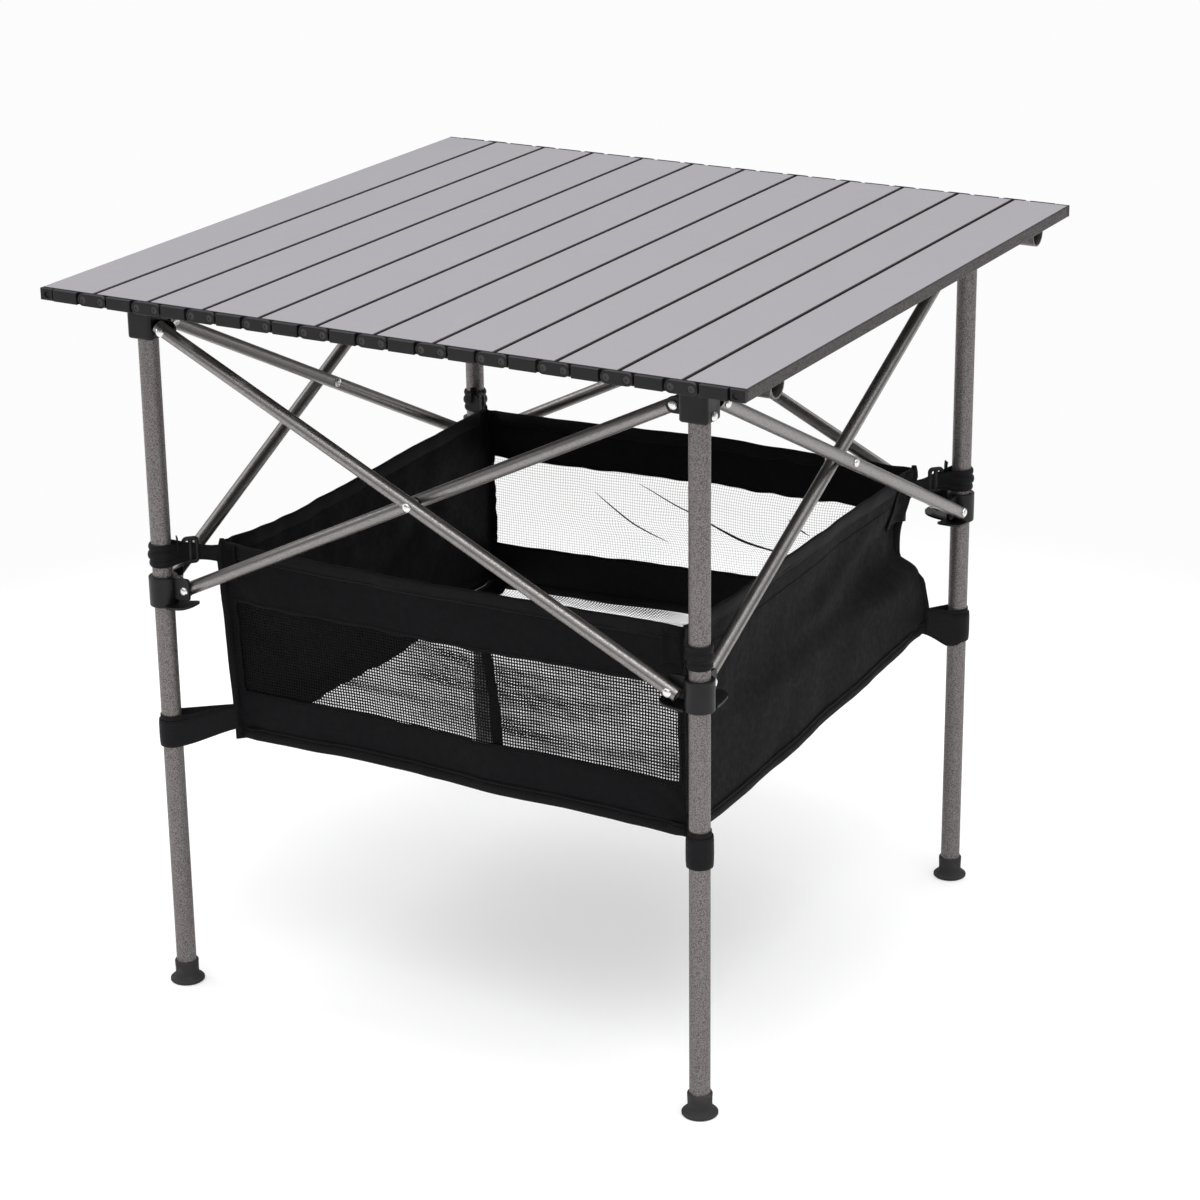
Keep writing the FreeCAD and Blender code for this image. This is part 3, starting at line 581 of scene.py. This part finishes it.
def wall_spot(wall, along, up, lift=0.0):
    """Point of a wall at shares of its length and height, pushed outward by lift."""
    first, last, outward = WALLS[wall]
    spot = corner_spot(first, up).lerp(corner_spot(last, up), along)
    low = BASE + station(HEM_MM[wall], along) * MM
    high = BASE + RISE + station(RIM_MM[wall], along) * MM
    high += 0.9 * MM * noise.noise(Vector((along * 17, list(WALLS).index(wall), 0.5)))
    spot.z = low + (high - low) * up
    belly = station(LOW_BELLY_MM[wall], along) * (1 - up)
    belly += station(HIGH_BELLY_MM[wall], along) * up
    belly *= ease(along, 0.0, 0.05) * ease(1 - along, 0.0, 0.05)
    return spot + outward * ((belly + creases(wall, along, up)) * MM + lift)


def wall_frame(wall, along, up, lift=0.0):
    """Point, outward normal and upward direction of a wall."""
    step = 0.004
    here = wall_spot(wall, along, up)
    ahead = wall_spot(wall, min(along + step, 1.0), up)
    ahead -= wall_spot(wall, max(along - step, 0.0), up)
    rise = wall_spot(wall, along, min(up + step, 1.0))
    rise -= wall_spot(wall, along, max(up - step, 0.0))
    rise.normalize()
    normal = ahead.cross(rise).normalized()
    return here + normal * lift, normal, rise


# ---- the basket's walls ----

def ticks(*marks):
    """Grid shares: each (end, steps) continues from the one before it."""
    values = [0.0]
    for end, steps in marks:
        start = values[-1]
        values += [start + (end - start) * (i + 1) / steps for i in range(steps)]
    return values


def wall_cloth(wall):
    """The cloth of one wall, with an opening for the net where it has a window."""
    with_window = wall in WINDOWS
    seed = list(WALLS).index(wall) * 3.1
    if with_window:
        sill, lintel = WINDOWS[wall]
        columns = ticks((WINDOW_EDGE, 3), (1 - WINDOW_EDGE, 118), (1.0, 3))
        rows = ticks((sill, 11), (lintel, 20), (1.0, 13))
    else:
        columns, rows = ticks((1.0, 112)), ticks((1.0, 42))
    points = []
    for up in rows:
        for along in columns:
            if with_window and 0 < along < 1 and 0 < up < 1:
                to_side = min(abs(along - WINDOW_EDGE), abs(along - 1 + WINDOW_EDGE))
                to_band = min(abs(up - sill), abs(up - lintel))
                near_side = math.exp(-(to_side / 0.006) ** 2)
                near_band = math.exp(-(to_band / 0.02) ** 2)
                ripple = noise.noise(Vector((along * 9.0, up * 22.0, seed)))
                wave = noise.noise(Vector((along * 17, seed, 2)))
                points.append(wall_spot(wall, along + 0.0042 * ripple * near_side,
                                        up + 0.012 * wave * near_band))
            else:
                points.append(wall_spot(wall, along, up))
    width = len(columns)
    faces = []
    for j in range(len(rows) - 1):
        for i in range(width - 1):
            middle_x = (columns[i] + columns[i + 1]) / 2
            middle_y = (rows[j] + rows[j + 1]) / 2
            open_here = with_window and sill < middle_y < lintel
            if not (open_here and WINDOW_EDGE < middle_x < 1 - WINDOW_EDGE):
                corner = j * width + i
                faces.append((corner, corner + 1, corner + width + 1, corner + width))
    return thicken(make(f"basket_{wall}", points, faces, CLOTH), 1.1 * MM)


NET_RING = tuple((math.cos(math.pi * i / 4), math.sin(math.pi * i / 4)) for i in range(8))


def net(name, spot, columns, rows, hole, finish):
    """Sheet of columns by rows cells, each with a small round hole. spot(i, j) gives a point."""
    index, points, faces = {}, [], []

    def vertex(i, j):
        key = (round(i * 2), round(j * 2))
        if key not in index:
            index[key] = len(points)
            points.append(spot(i, j))
        return index[key]

    border = ((1, 0.5), (1, 1), (0.5, 1), (0, 1), (0, 0.5), (0, 0), (0.5, 0), (1, 0))
    for j in range(rows):
        for i in range(columns):
            outer = [vertex(i + a, j + b) for a, b in border]
            start = len(points)
            points.extend(spot(i + 0.5 + hole * a, j + 0.5 + hole * b) for a, b in NET_RING)
            for k in range(8):
                m = (k + 1) % 8
                faces.append((outer[k], outer[m], start + m, start + k))
    return make(name, points, faces, finish)


NET_PITCH = 2.9 * MM
# radius of a net's holes, as a share of its pitch
NET_HOLE, SHEER_HOLE = 0.31, 0.43


def wall_net(wall):
    """Net behind a wall's window."""
    lap = 3 * MM
    first, last = WINDOW_EDGE - lap / SIDE, 1 - WINDOW_EDGE + lap / SIDE
    low, high = WINDOWS[wall][0] - lap / RISE, WINDOWS[wall][1] + lap / RISE
    columns = round((last - first) * SIDE / NET_PITCH)
    rows = round((high - low) * RISE / NET_PITCH)

    def spot(i, j):
        return wall_spot(wall, first + (last - first) * i / columns,
                         low + (high - low) * j / rows, -1.3 * MM)

    finish, hole = (NET_SHEER, SHEER_HOLE) if wall == "back" else (NET_SIDE, NET_HOLE)
    return net(f"basket_{wall}_net", spot, columns, rows, hole, finish)


def back_pleats():
    """Sharp pleats where the slack back net doubles over itself."""
    parts = Parts()
    for start, stop, depth in PLEATS:
        rings = []
        for i in range(31):
            t = i / 30
            along = start[0] + (stop[0] - start[0]) * t + 0.006 * math.sin(4 * t)
            up = start[1] + (stop[1] - start[1]) * t
            here, normal, rise = wall_frame("back", along, up, -1.0 * MM)
            size = math.sin(math.pi * (0.04 + 0.92 * t)) ** 0.7 * MM
            lean = rise * 0.35 - normal
            rings.append([here + lean * (a * depth * size) + rise * (b * size)
                          for a, b in ((0, -0.8), (0.9, -0.55), (1, 0), (0.9, 0.55), (0, 0.8))])
        parts.loft(rings)
    return parts.build("basket_back_pleats", (NET_SIDE,))


TAPE_STEPS = 90
STITCH_PITCH = 3.6 * MM


def run(parts, wall, up, profile):
    """Tape with a closed profile of (outward, upward) points, run along a wall."""
    rings = []
    for i in range(TAPE_STEPS + 1):
        here, normal, rise = wall_frame(wall, i / TAPE_STEPS, up)
        rings.append([here + normal * a + rise * b for a, b in profile])
    parts.loft(rings)


def sew(parts, wall, up, lift, first=0.01, last=0.99, upright=False):
    """Row of stitches along a wall, or up it at a fixed share of its length."""
    span = (last - first) * (RISE if upright else SIDE)
    count = int(span / STITCH_PITCH)
    for i in range(count):
        a = first + (last - first) * i / count
        b = a + (last - first) / count * 0.72
        spots = ((up, a), (up, b)) if upright else ((a, up), (b, up))
        start, normal, _ = wall_frame(wall, *spots[0], lift)
        end = wall_frame(wall, *spots[1], lift)[0]
        parts.stitch(start, end, normal)


def wall_trim(wall):
    """Rim hem, bottom binding, and rows of stitching, round the windows too."""
    parts = Parts()
    outer, inner = 1.35 * MM, -1.35 * MM
    rim = [(outer, -13 * MM), (outer + 0.2 * MM, -1.2 * MM), (0.7 * MM, 0.9 * MM),
           (-0.7 * MM, 0.9 * MM), (inner - 0.2 * MM, -1.2 * MM), (inner, -13 * MM)]
    run(parts, wall, 1.0, rim)
    sew(parts, wall, 1 - 11.2 * MM / RISE, outer + 0.15 * MM)
    hem = [(-1.5 * MM, 7.5 * MM), (-1.8 * MM, -0.6 * MM), (-0.8 * MM, -2.4 * MM),
           (1.0 * MM, -2.4 * MM), (1.9 * MM, -0.6 * MM), (1.6 * MM, 7.5 * MM)]
    run(parts, wall, 0.0, hem)
    bead = [(1.5 * MM + 1.1 * MM * math.cos(a), 9.0 * MM + 1.1 * MM * math.sin(a))
            for a in (i * math.pi / 3 for i in range(6))]
    run(parts, wall, 0.0, bead)
    sew(parts, wall, 5.2 * MM / RISE, 1.95 * MM)
    if wall in WINDOWS:
        sill, lintel = WINDOWS[wall]
        for level in (sill - 3.2 * MM / RISE, lintel + 3.2 * MM / RISE):
            sew(parts, wall, level, 0.75 * MM)
        for along in (WINDOW_EDGE * 0.55, 1 - WINDOW_EDGE * 0.55):
            sew(parts, wall, along, 0.75 * MM, sill, lintel, upright=True)
    else:
        sew(parts, wall, 1 - 30 * MM / RISE, 0.75 * MM)
    return parts.build(f"basket_{wall}_trim", (TAPE, THREAD))


def corner_binding(corner):
    """Bound seam that stands out from a basket corner and ends just below the hem."""
    x, y = CORNERS[corner]
    out = Vector((x, y, 0)).normalized()
    across = Vector((-out.y, out.x, 0))
    ends = [(w, 0 if WALLS[w][0] == corner else -1) for w in WALLS if corner in WALLS[w][:2]]
    low = BASE + min(HEM_MM[w][end] for w, end in ends) * MM - 3 * MM
    high = BASE + RISE + max(RIM_MM[w][end] for w, end in ends) * MM
    parts = Parts()
    steps, reach, thick = 30, 7.5 * MM, 1.5 * MM
    outline = ((-1.5 * MM, -0.8), (reach - 1 * MM, -1.0), (reach, -0.4), (reach, 0.4),
               (reach - 1 * MM, 1.0), (-1.5 * MM, 0.8))
    rings, edge = [], []
    for i in range(steps + 1):
        z = low + (high + 2.5 * MM - low) * i / steps
        spot = corner_spot(corner, (z - BASE) / RISE)
        spot.z = z
        sway = across * 1.2 * MM * math.sin(i * 0.7 + x + 2 * y)
        taper = 1 - 0.55 * ease(i / steps, 0.93, 1.0)
        rings.append([spot + out * a * taper + across * (b * thick) + sway * (a > 0)
                      for a, b in outline])
        edge.append(spot + out * (reach * 0.45) + sway)
    parts.loft(rings)
    for i in range(steps * 2 - 2):
        a, b = i / 2, i / 2 + 0.36
        start = edge[int(a)].lerp(edge[min(int(a) + 1, steps)], a % 1)
        end = edge[int(b)].lerp(edge[min(int(b) + 1, steps)], b % 1)
        for face in (1, -1):
            parts.stitch(start + across * face * thick, end + across * face * thick, across * face)
    return parts.build(f"basket_binding_{corner}", (TAPE, THREAD))


# corner patches: how far they reach down from the rim and along both walls, in mm
PATCH_MM = {"fl": (34, 15), "fr": (34, 24), "br": (58, 30), "bl": (40, 26)}


def corner_patch(corner):
    """Reinforcing cloth folded round the top of a basket corner."""
    drop, reach = PATCH_MM[corner]
    held = station(PULLED_IN_MM[corner], 0.86)
    points, across, high = [], 22, 10
    for j in range(high + 1):
        for i in range(across + 1):
            t = 2 * i / across - 1
            wall = next(w for w in WALLS if WALLS[w][1 if t < 0 else 0] == corner)
            share = abs(t) * reach * MM / SIDE
            up = 1 - (drop * (1 - j / high) + 1.5 + 2.0 * math.sin(4 * t)) * MM / RISE
            lift = (1.5 + 0.9 * math.sin(9 * up + 5 * t)) * MM
            spot = wall_spot(wall, 1 - share if t < 0 else share, up, lift)
            pulled = station(PULLED_IN_MM[corner], up) - held
            slack = pulled * (1 - abs(t)) ** 2 * MM / math.sqrt(2)
            x, y = CORNERS[corner]
            points.append(spot + Vector((x, y, 0)) * max(slack, 0.0))
    width = across + 1
    faces = [(j * width + i, j * width + i + 1, (j + 1) * width + i + 1, (j + 1) * width + i)
             for j in range(high) for i in range(across)]
    return thicken(make(f"basket_patch_{corner}", points, faces, CLOTH), 1.2 * MM)


# ---- the basket's floor ----

FLOOR_PITCH = 3.4 * MM
FLOOR_SAG_MM = 9.0
# share of the floor's width that its left cloth edge takes
FLOOR_EDGE = 0.046


@functools.cache
def hem_spot(wall, along):
    return wall_spot(wall, along, 0.0)


def floor_spot(u, v):
    """Sagging, wrinkled floor between the hems, at shares of its width and depth."""
    front, back = hem_spot("front", u), hem_spot("back", 1 - u)
    left, right = hem_spot("left", 1 - v), hem_spot("right", v)
    fl, fr, br, bl = (hem_spot(wall, 0.0) for wall in ("front", "right", "back", "left"))
    spot = front.lerp(back, v) + left.lerp(right, u) - fl.lerp(fr, u).lerp(bl.lerp(br, u), v)
    x, y = SIDE * (u - 0.5), SIDE * (v - 0.5)
    edge = min(1.0, 14 * min(u, v, 1 - u, 1 - v))
    wrinkle = 5.0 * noise.noise(Vector((x * 9 + y * 5, y * 12, 1.7)))
    wrinkle += 2.4 * noise.noise(Vector((x * 26, y * 30 + x * 9, 5.2)))
    wrinkle += 1.0 * noise.noise(Vector((x * 70, y * 64, 9.4)))
    sag = FLOOR_SAG_MM * 16 * u * (1 - u) * v * (1 - v)
    spot.z += (1.5 - sag + wrinkle * edge) * MM
    return spot


def floor_half(name, side):
    """Net of the front or back half of the floor."""
    columns = round((1 - FLOOR_EDGE) * SIDE / FLOOR_PITCH)
    rows = round(SIDE / 2 / FLOOR_PITCH)

    def spot(i, j):
        v = j / rows / 2
        return floor_spot(FLOOR_EDGE + (1 - FLOOR_EDGE) * i / columns, v if side < 0 else 0.5 + v)

    return net(name, spot, columns, rows, NET_HOLE, NET_FLAT)


def floor_edge(name, side):
    """Cloth along the left edge of a floor half, which the net is sewn to."""
    points, steps = [], 60
    for j in range(steps + 1):
        v = j / steps / 2 if side < 0 else 0.5 + j / steps / 2
        for i in range(4):
            u = (FLOOR_EDGE + 0.004) * i / 3 + 0.0016 * math.sin(j * 0.9 + i) * (i == 3)
            points.append(floor_spot(u, v) + UP * (0.8 * MM))
    faces = [(j * 4 + i, j * 4 + i + 1, j * 4 + i + 5, j * 4 + i + 4)
             for j in range(steps) for i in range(3)]
    return thicken(make(name, points, faces, CLOTH), 1.1 * MM)


# ---- straps and buckles ----

# shares of the wall's height at which the straps meet the corner
UPPER_STRAP_LEVEL, LOWER_STRAP_LEVEL = 0.94, 0.06
# upper straps: low and high edge at the leg and at the buckle, in mm
UPPER_AT_LEG_MM, UPPER_AT_BUCKLE_MM = (427, 449), (430, 446)
# how much lower the upper strap of a corner sits, in mm
STRAP_DROP_MM = {"fl": 0, "fr": 0, "br": 6.5, "bl": 2}
# lower straps: low and high edge at the leg, then at the basket, in mm
LOWER_STRAP_MM = {"fl": (248, 274, 256, 279), "fr": (243, 272, 255, 277),
                  "br": (262, 291, 271, 296), "bl": (243, 272, 252, 276)}
# where the low edge of a lower strap droops: number of the ring, and depth in mm
DROOP_MM = {"fl": (0, 0.0), "fr": (42, 7.0), "br": (6, 6.0), "bl": (40, 8.0)}
# outward offsets from the low edge to the high edge, in mm: upper strap, and both layers of
# a lower one
RIDGES_MM = (0.4, 1.3, 1.4, 0.9, 0.5, 2.1, 2.5, 2.4, 1.9, 0.6, 1.2, 1.6, 1.4, 0.4)
OVER_MM = (0.5, 0.85, 0.95, 0.95, 0.9, 0.85, 0.5)
UNDER_MM = (0.2, 0.35, 0.4, 0.35, 0.2)
# buckle: distance from the leg's axis, height of its middle, half sizes and corner radius
BUCKLE_REACH = 27 * MM
BUCKLE_MIDDLE_MM = 438.8
BUCKLE_WIDE, BUCKLE_HIGH, BUCKLE_BEND = 6.2 * MM, 11.2 * MM, 3.0 * MM
# steps of a belt along each of its straight parts and round the leg
STRAIGHT_STEPS, TURN_STEPS = 9, 30


def belt_path(leg, anchor, radius):
    """Closed way round a leg from an anchor: (point, outward normal, share towards the leg)."""
    out = anchor - leg
    gap = out.length
    out.normalize()
    across = Vector((-out.y, out.x, 0))
    opening = math.acos(radius / gap)
    path = []
    for i in range(STRAIGHT_STEPS):
        share = i / STRAIGHT_STEPS
        normal = out * math.cos(opening) + across * math.sin(opening)
        path.append((anchor.lerp(leg + normal * radius, share), normal, share))
    for i in range(TURN_STEPS + 1):
        angle = opening + (2 * math.pi - 2 * opening) * i / TURN_STEPS
        normal = out * math.cos(angle) + across * math.sin(angle)
        path.append((leg + normal * radius, normal, 1.0))
    for i in range(STRAIGHT_STEPS):
        share = 1 - (i + 1) / STRAIGHT_STEPS
        normal = out * math.cos(opening) - across * math.sin(opening)
        path.append((anchor.lerp(leg + normal * radius, share), normal, share))
    return path


def belt(parts, leg, anchor, radius, far, near, ridges, droop=None):
    """Webbing round a leg. far and near are its (low, high) edges at the basket and at the leg;
    ridges lists outward offsets from its low edge to its high edge, in mm."""
    rings = []
    for i, (spot, normal, share) in enumerate(belt_path(leg, anchor, radius)):
        blend = ease(share, 0.0, 1.0)
        low = far[0] + (near[0] - far[0]) * blend
        high = far[1] + (near[1] - far[1]) * blend
        low -= droop(i) if droop else 0.0
        swell = ease(share, 0.35, 1.0)
        ring = []
        for k, offset in enumerate(ridges):
            bulge = (0.7 + (offset - 0.7) * swell) * MM
            height = low + (high - low) * k / (len(ridges) - 1)
            ring.append(spot + normal * bulge + UP * height)
        ring.append(spot - normal * 0.6 * MM + UP * (high - 0.4 * MM))
        ring.append(spot - normal * 0.6 * MM + UP * (low + 0.4 * MM))
        rings.append(ring)
    parts.loft(rings)


def edges(pair):
    """Low and high edge in metres, from mm."""
    return pair[0] * MM, pair[1] * MM


def upper_strap_line(corner):
    """From a leg's axis to where its upper strap is sewn on: direction, sideways and length."""
    way = corner_spot(corner, UPPER_STRAP_LEVEL) - leg_axis(corner)
    out = way.normalized()
    return out, Vector((-out.y, out.x, 0)), way.length


def upper_strap(corner):
    """Upper strap: webbing in three ridges round the leg, through a buckle to the corner."""
    leg = leg_axis(corner) - UP * (STRAP_DROP_MM[corner] * MM)
    out, across, gap = upper_strap_line(corner)
    parts = Parts()
    belt(parts, leg, leg + out * BUCKLE_REACH, LEG_RADIUS + 0.9 * MM,
         edges(UPPER_AT_BUCKLE_MM), edges(UPPER_AT_LEG_MM), RIDGES_MM)
    tab = []
    for i in range(17):
        t = i / 16
        reach = BUCKLE_REACH + (gap + 2 * MM - BUCKLE_REACH) * t
        spot = leg + out * reach + across * 0.8 * MM * math.sin(3 * t)
        low, high = (429 - 7.5 * t * t) * MM, (446.5 - 6.0 * math.sin(2.2 * t)) * MM
        tab.append([spot + across * a * MM + UP * (low + (high - low) * b)
                    for a, b in ((-1.1, 0.02), (-1.2, 0.5), (-1.1, 0.98), (0, 1.03),
                                 (1.1, 0.98), (1.2, 0.5), (1.1, 0.02), (0, -0.03))])
    parts.loft(tab)
    tail = []
    for i in range(9):
        t = i / 8
        spot = leg + out * (13.2 + 1.2 * math.sin(2.5 * t)) * MM - across * 5.5 * MM
        spot.z += (438 + 17 * t) * MM
        tail.append([spot + out * a * MM + across * b * MM
                     for a, b in ((0.6, -3.2), (0.6, 3.2), (-0.6, 3.2), (-0.6, -3.2))])
    parts.loft(tail)
    return parts.build(f"strap_upper_{corner}", (WEBBING,))


def rounded(half_wide, half_high, bend):
    """Closed way round a rounded rectangle: (x, z, outward x, outward z)."""
    way, steps = [], 6
    for quarter in range(4):
        for i in range(steps + 1):
            angle = math.pi / 2 * (quarter + i / steps)
            x, z = math.cos(angle), math.sin(angle)
            side_x = 1 if quarter in (0, 3) else -1
            side_z = 1 if quarter in (0, 1) else -1
            way.append((side_x * (half_wide - bend) + bend * x,
                        side_z * (half_high - bend) + bend * z, x, z))
    return way


def buckle(corner):
    """Ladder buckle of an upper strap: a rounded frame with a middle bar."""
    out, across, _ = upper_strap_line(corner)
    height = (BUCKLE_MIDDLE_MM - STRAP_DROP_MM[corner]) * MM
    middle = leg_axis(corner) + out * BUCKLE_REACH + UP * height
    parts, rings = Parts(), []
    for x, z, nx, nz in rounded(BUCKLE_WIDE, BUCKLE_HIGH, BUCKLE_BEND):
        radial = out * nx + UP * nz
        spot = middle + out * x + UP * z
        rings.append([spot + radial * a * MM + across * b * MM
                      for a, b in ((1.6, -1.6), (2.1, 0), (1.6, 1.6), (0, 2.2),
                                   (-1.6, 1.6), (-2.1, 0), (-1.6, -1.6), (0, -2.2))])
    parts.loft(rings, closed=True)
    bar = []
    for i in range(9):
        z = -BUCKLE_HIGH + 2 * BUCKLE_HIGH * i / 8
        bar.append([middle + out * (a * MM) + across * (b * MM) + UP * z
                    for a, b in ((2.3, 0), (1.6, 1.8), (-1.6, 1.8),
                                 (-2.3, 0), (-1.6, -1.8), (1.6, -1.8))])
    parts.loft(bar)
    return parts.build(f"buckle_{corner}", (PLASTIC,))


def lower_strap(corner):
    """Lower strap: a wide cloth band round the leg over a narrower inner layer."""
    leg = leg_axis(corner)
    anchor = corner_spot(corner, LOWER_STRAP_LEVEL)
    ring, depth = DROOP_MM[corner]
    low, high, far_low, far_high = LOWER_STRAP_MM[corner]
    parts = Parts()

    def droop(i):
        return depth * MM * max(0.0, 1 - abs(i - ring) / 6.0)

    belt(parts, leg, anchor, LEG_RADIUS + 2.0 * MM, edges((far_low, far_high)),
         edges((low, high)), OVER_MM, droop)
    belt(parts, leg, anchor, LEG_RADIUS + 0.8 * MM, edges((far_low + 5, far_high + 1)),
         edges((low + 6, high + 5)), UNDER_MM)
    return parts.build(f"strap_lower_{corner}", (WEBBING,))


# strip behind the front net: share along the wall at its top, lean, overlap with the bands
# above and below, half width at its foot, and distance behind the wall
STRIP_ALONG, STRIP_LEAN, STRIP_LAP = 0.573, 0.014, 0.06
STRIP_HALF_MM, STRIP_BEHIND = 5.8, 9 * MM


def window_strip():
    """Webbing that hangs behind the front net, from the upper band to the lower one."""
    parts = Parts()
    sill, lintel = WINDOWS["front"]
    rings = []
    for i in range(25):
        t = i / 24
        along = STRIP_ALONG + STRIP_LEAN * (1 - t) + 0.003 * math.sin(5 * t)
        up = sill - STRIP_LAP + (lintel - sill + 2 * STRIP_LAP) * t
        here, normal, _ = wall_frame("front", along, up, -STRIP_BEHIND)
        side = normal.cross(UP).normalized() * (STRIP_HALF_MM - 0.6 * t) * MM
        rings.append([here + side * a + normal * b * MM
                      for a, b in ((-1, 0), (-0.9, 0.6), (0.9, 0.6),
                                   (1, 0), (0.9, -0.6), (-0.9, -0.6))])
    parts.loft(rings)
    return parts.build("basket_front_strip", (WEBBING,))


# ---- putting the basket on its bodies ----

# leg that the pieces of each wall ride on
RIDES = {"front": "leg_fl", "back": "leg_bl", "left": "leg_fl", "right": "leg_fr"}


def gather(piece, wall):
    """Rides a wall's piece on its leg, with a mesh of its own."""
    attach(piece, RIDES[wall])
    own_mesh(piece)


def hang(piece, half):
    """Rides a piece of the floor on its half, with a mesh of its own."""
    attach(piece, f"floor_{half}")
    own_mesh(piece)


for wall in WALLS:
    cloth = wall_cloth(wall)
    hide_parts("basket_walls")
    gather(cloth, wall)
    gather(wall_trim(wall), wall)
    if wall in WINDOWS:
        gather(wall_net(wall), wall)
gather(window_strip(), "front")
gather(back_pleats(), "back")

for half, side in (("front", -1), ("back", 1)):
    piece = floor_half(f"basket_{half}_floor_net", side)
    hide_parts(f"basket_floor_{half}")
    hang(piece, half)
    hang(floor_edge(f"basket_{half}_floor_edge", side), half)

for corner in CORNERS:
    for piece in (corner_binding(corner), corner_patch(corner), upper_strap(corner),
                  lower_strap(corner)):
        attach(piece, f"leg_{corner}")
    clip = buckle(corner)
    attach(clip, f"leg_{corner}")


# ---- floor, light and camera ----

# brightness of the backdrop and extra glow of the floor, both for camera rays only
BACKDROP = 0.975
FLOOR_GLOW = 0.27
# light from the horizon and from overhead, and the upward parts of a direction between them
SKY_LOW, SKY_HIGH = 0.14, 1.35
SKY_FROM, SKY_TO = 0.1, 0.8
# half the floor's side, and the distances between which it fades into the backdrop
FLOOR_REACH = 30.0
FADE_FROM, FADE_TO = 0.55, 1.35
# lamps: name, place, aim, width and height, watts
LAMPS = (
    ("overhead", (0.5, -0.6, 3.1), (0, 0, 0.3), (2.6, 2.6), 42),
    ("key", (1.9, -2.6, 2.3), (0, 0, 0.45), (0.4, 0.4), 5),
    ("rim", (-3.0, -0.4, 1.6), (0, 0, 0.4), (0.5, 1.6), 12),
)
# camera: place, degrees to the left of +Y, down and of roll, focal length and sensor in mm
CAMERA_SPOT = (1.44222, -2.52993, 1.43247)
CAMERA_TURN, CAMERA_TILT, CAMERA_ROLL = 29.33, 20.42, -0.68
LENS_MM, SENSOR_MM = 96.69, 36.0


def studio_floor():
    """Pale floor that fades into the bright backdrop away from the table."""
    parts = Parts()
    square = ((-1, -1), (1, -1), (1, 1), (-1, 1))
    parts.add([Vector((x * FLOOR_REACH, y * FLOOR_REACH, 0)) for x, y in square], [(0, 1, 2, 3)])
    f = Finish("studio_floor", (0.82, 0.82, 0.825), 0.9, Specular_IOR_Level=0.1)
    x, y, _ = f.split()
    distance = f.calc("SQRT", f.calc("ADD", f.calc("MULTIPLY", x, x), f.calc("MULTIPLY", y, y)))
    seen = f.add("LightPath").outputs["Is Camera Ray"]
    f.set("Emission Color", WHITE)
    f.set("Emission Strength", f.calc("MULTIPLY", FLOOR_GLOW, seen))
    backdrop, mixed = f.add("Emission"), f.add("MixShader")
    backdrop.inputs["Strength"].default_value = BACKDROP
    f.put(mixed.inputs[0], f.calc("MULTIPLY", f.spread(distance, FADE_FROM, FADE_TO), seen))
    f.put(mixed.inputs[1], f.shader.outputs[0])
    f.put(mixed.inputs[2], backdrop.outputs[0])
    f.put(f.nodes["Material Output"].inputs["Surface"], mixed.outputs[0])
    floor = parts.build("studio_floor", (f.material,))


def sky():
    """Surroundings: dim near the horizon and bright overhead for the light they give, and
    plain white where the camera sees them directly."""
    world = bpy.data.worlds.new("studio")
    bpy.context.scene.world = world
    world.use_nodes = True
    nodes, links = world.node_tree.nodes, world.node_tree.links
    background = nodes["Background"]
    background.inputs["Color"].default_value = WHITE
    way = nodes.new("ShaderNodeSeparateXYZ")
    links.new(nodes.new("ShaderNodeTexCoord").outputs["Generated"], way.inputs[0])
    rise = nodes.new("ShaderNodeMapRange")
    rise.interpolation_type = "SMOOTHSTEP"
    limits = {"From Min": SKY_FROM, "From Max": SKY_TO, "To Min": SKY_LOW, "To Max": SKY_HIGH}
    for key, value in limits.items():
        rise.inputs[key].default_value = value
    links.new(way.outputs["Z"], rise.inputs["Value"])
    choice = nodes.new("ShaderNodeMix")
    links.new(nodes.new("ShaderNodeLightPath").outputs["Is Camera Ray"], choice.inputs["Factor"])
    links.new(rise.outputs["Result"], choice.inputs["A"])
    choice.inputs["B"].default_value = BACKDROP
    links.new(choice.outputs["Result"], background.inputs["Strength"])


def lamp(name, spot, aim, size, watts):
    data = bpy.data.lights.new(name, "AREA")
    data.shape = "RECTANGLE"
    data.size, data.size_y = size
    data.energy = watts
    thing = place(name, data)
    thing.location = spot
    thing.rotation_euler = (Vector(aim) - Vector(spot)).to_track_quat("-Z", "Y").to_euler()


def camera():
    """Camera from the front right and above, as the photograph was taken."""
    spot = Vector(CAMERA_SPOT)
    turn, tilt, roll = (math.radians(angle) for angle in (CAMERA_TURN, CAMERA_TILT, CAMERA_ROLL))
    level = math.cos(tilt)
    ahead = Vector((-math.sin(turn) * level, math.cos(turn) * level, -math.sin(tilt)))
    right = ahead.cross(UP).normalized()
    up = right.cross(ahead)
    cos, sin = math.cos(roll), math.sin(roll)
    right, up = right * cos + up * sin, up * cos - right * sin
    data = bpy.data.cameras.new("camera")
    data.lens, data.sensor_width = LENS_MM, SENSOR_MM
    data.clip_end = 100.0
    thing = place("camera", data)
    thing.matrix_world = Matrix((
        (right.x, up.x, -ahead.x, spot.x),
        (right.y, up.y, -ahead.y, spot.y),
        (right.z, up.z, -ahead.z, spot.z),
        (0, 0, 0, 1)))
    bpy.context.scene.camera = thing


studio_floor()
sky()
for each in LAMPS:
    lamp(*each)
camera()
bpy.context.scene.view_settings.view_transform = "Standard"

bpy.context.view_layer.update()
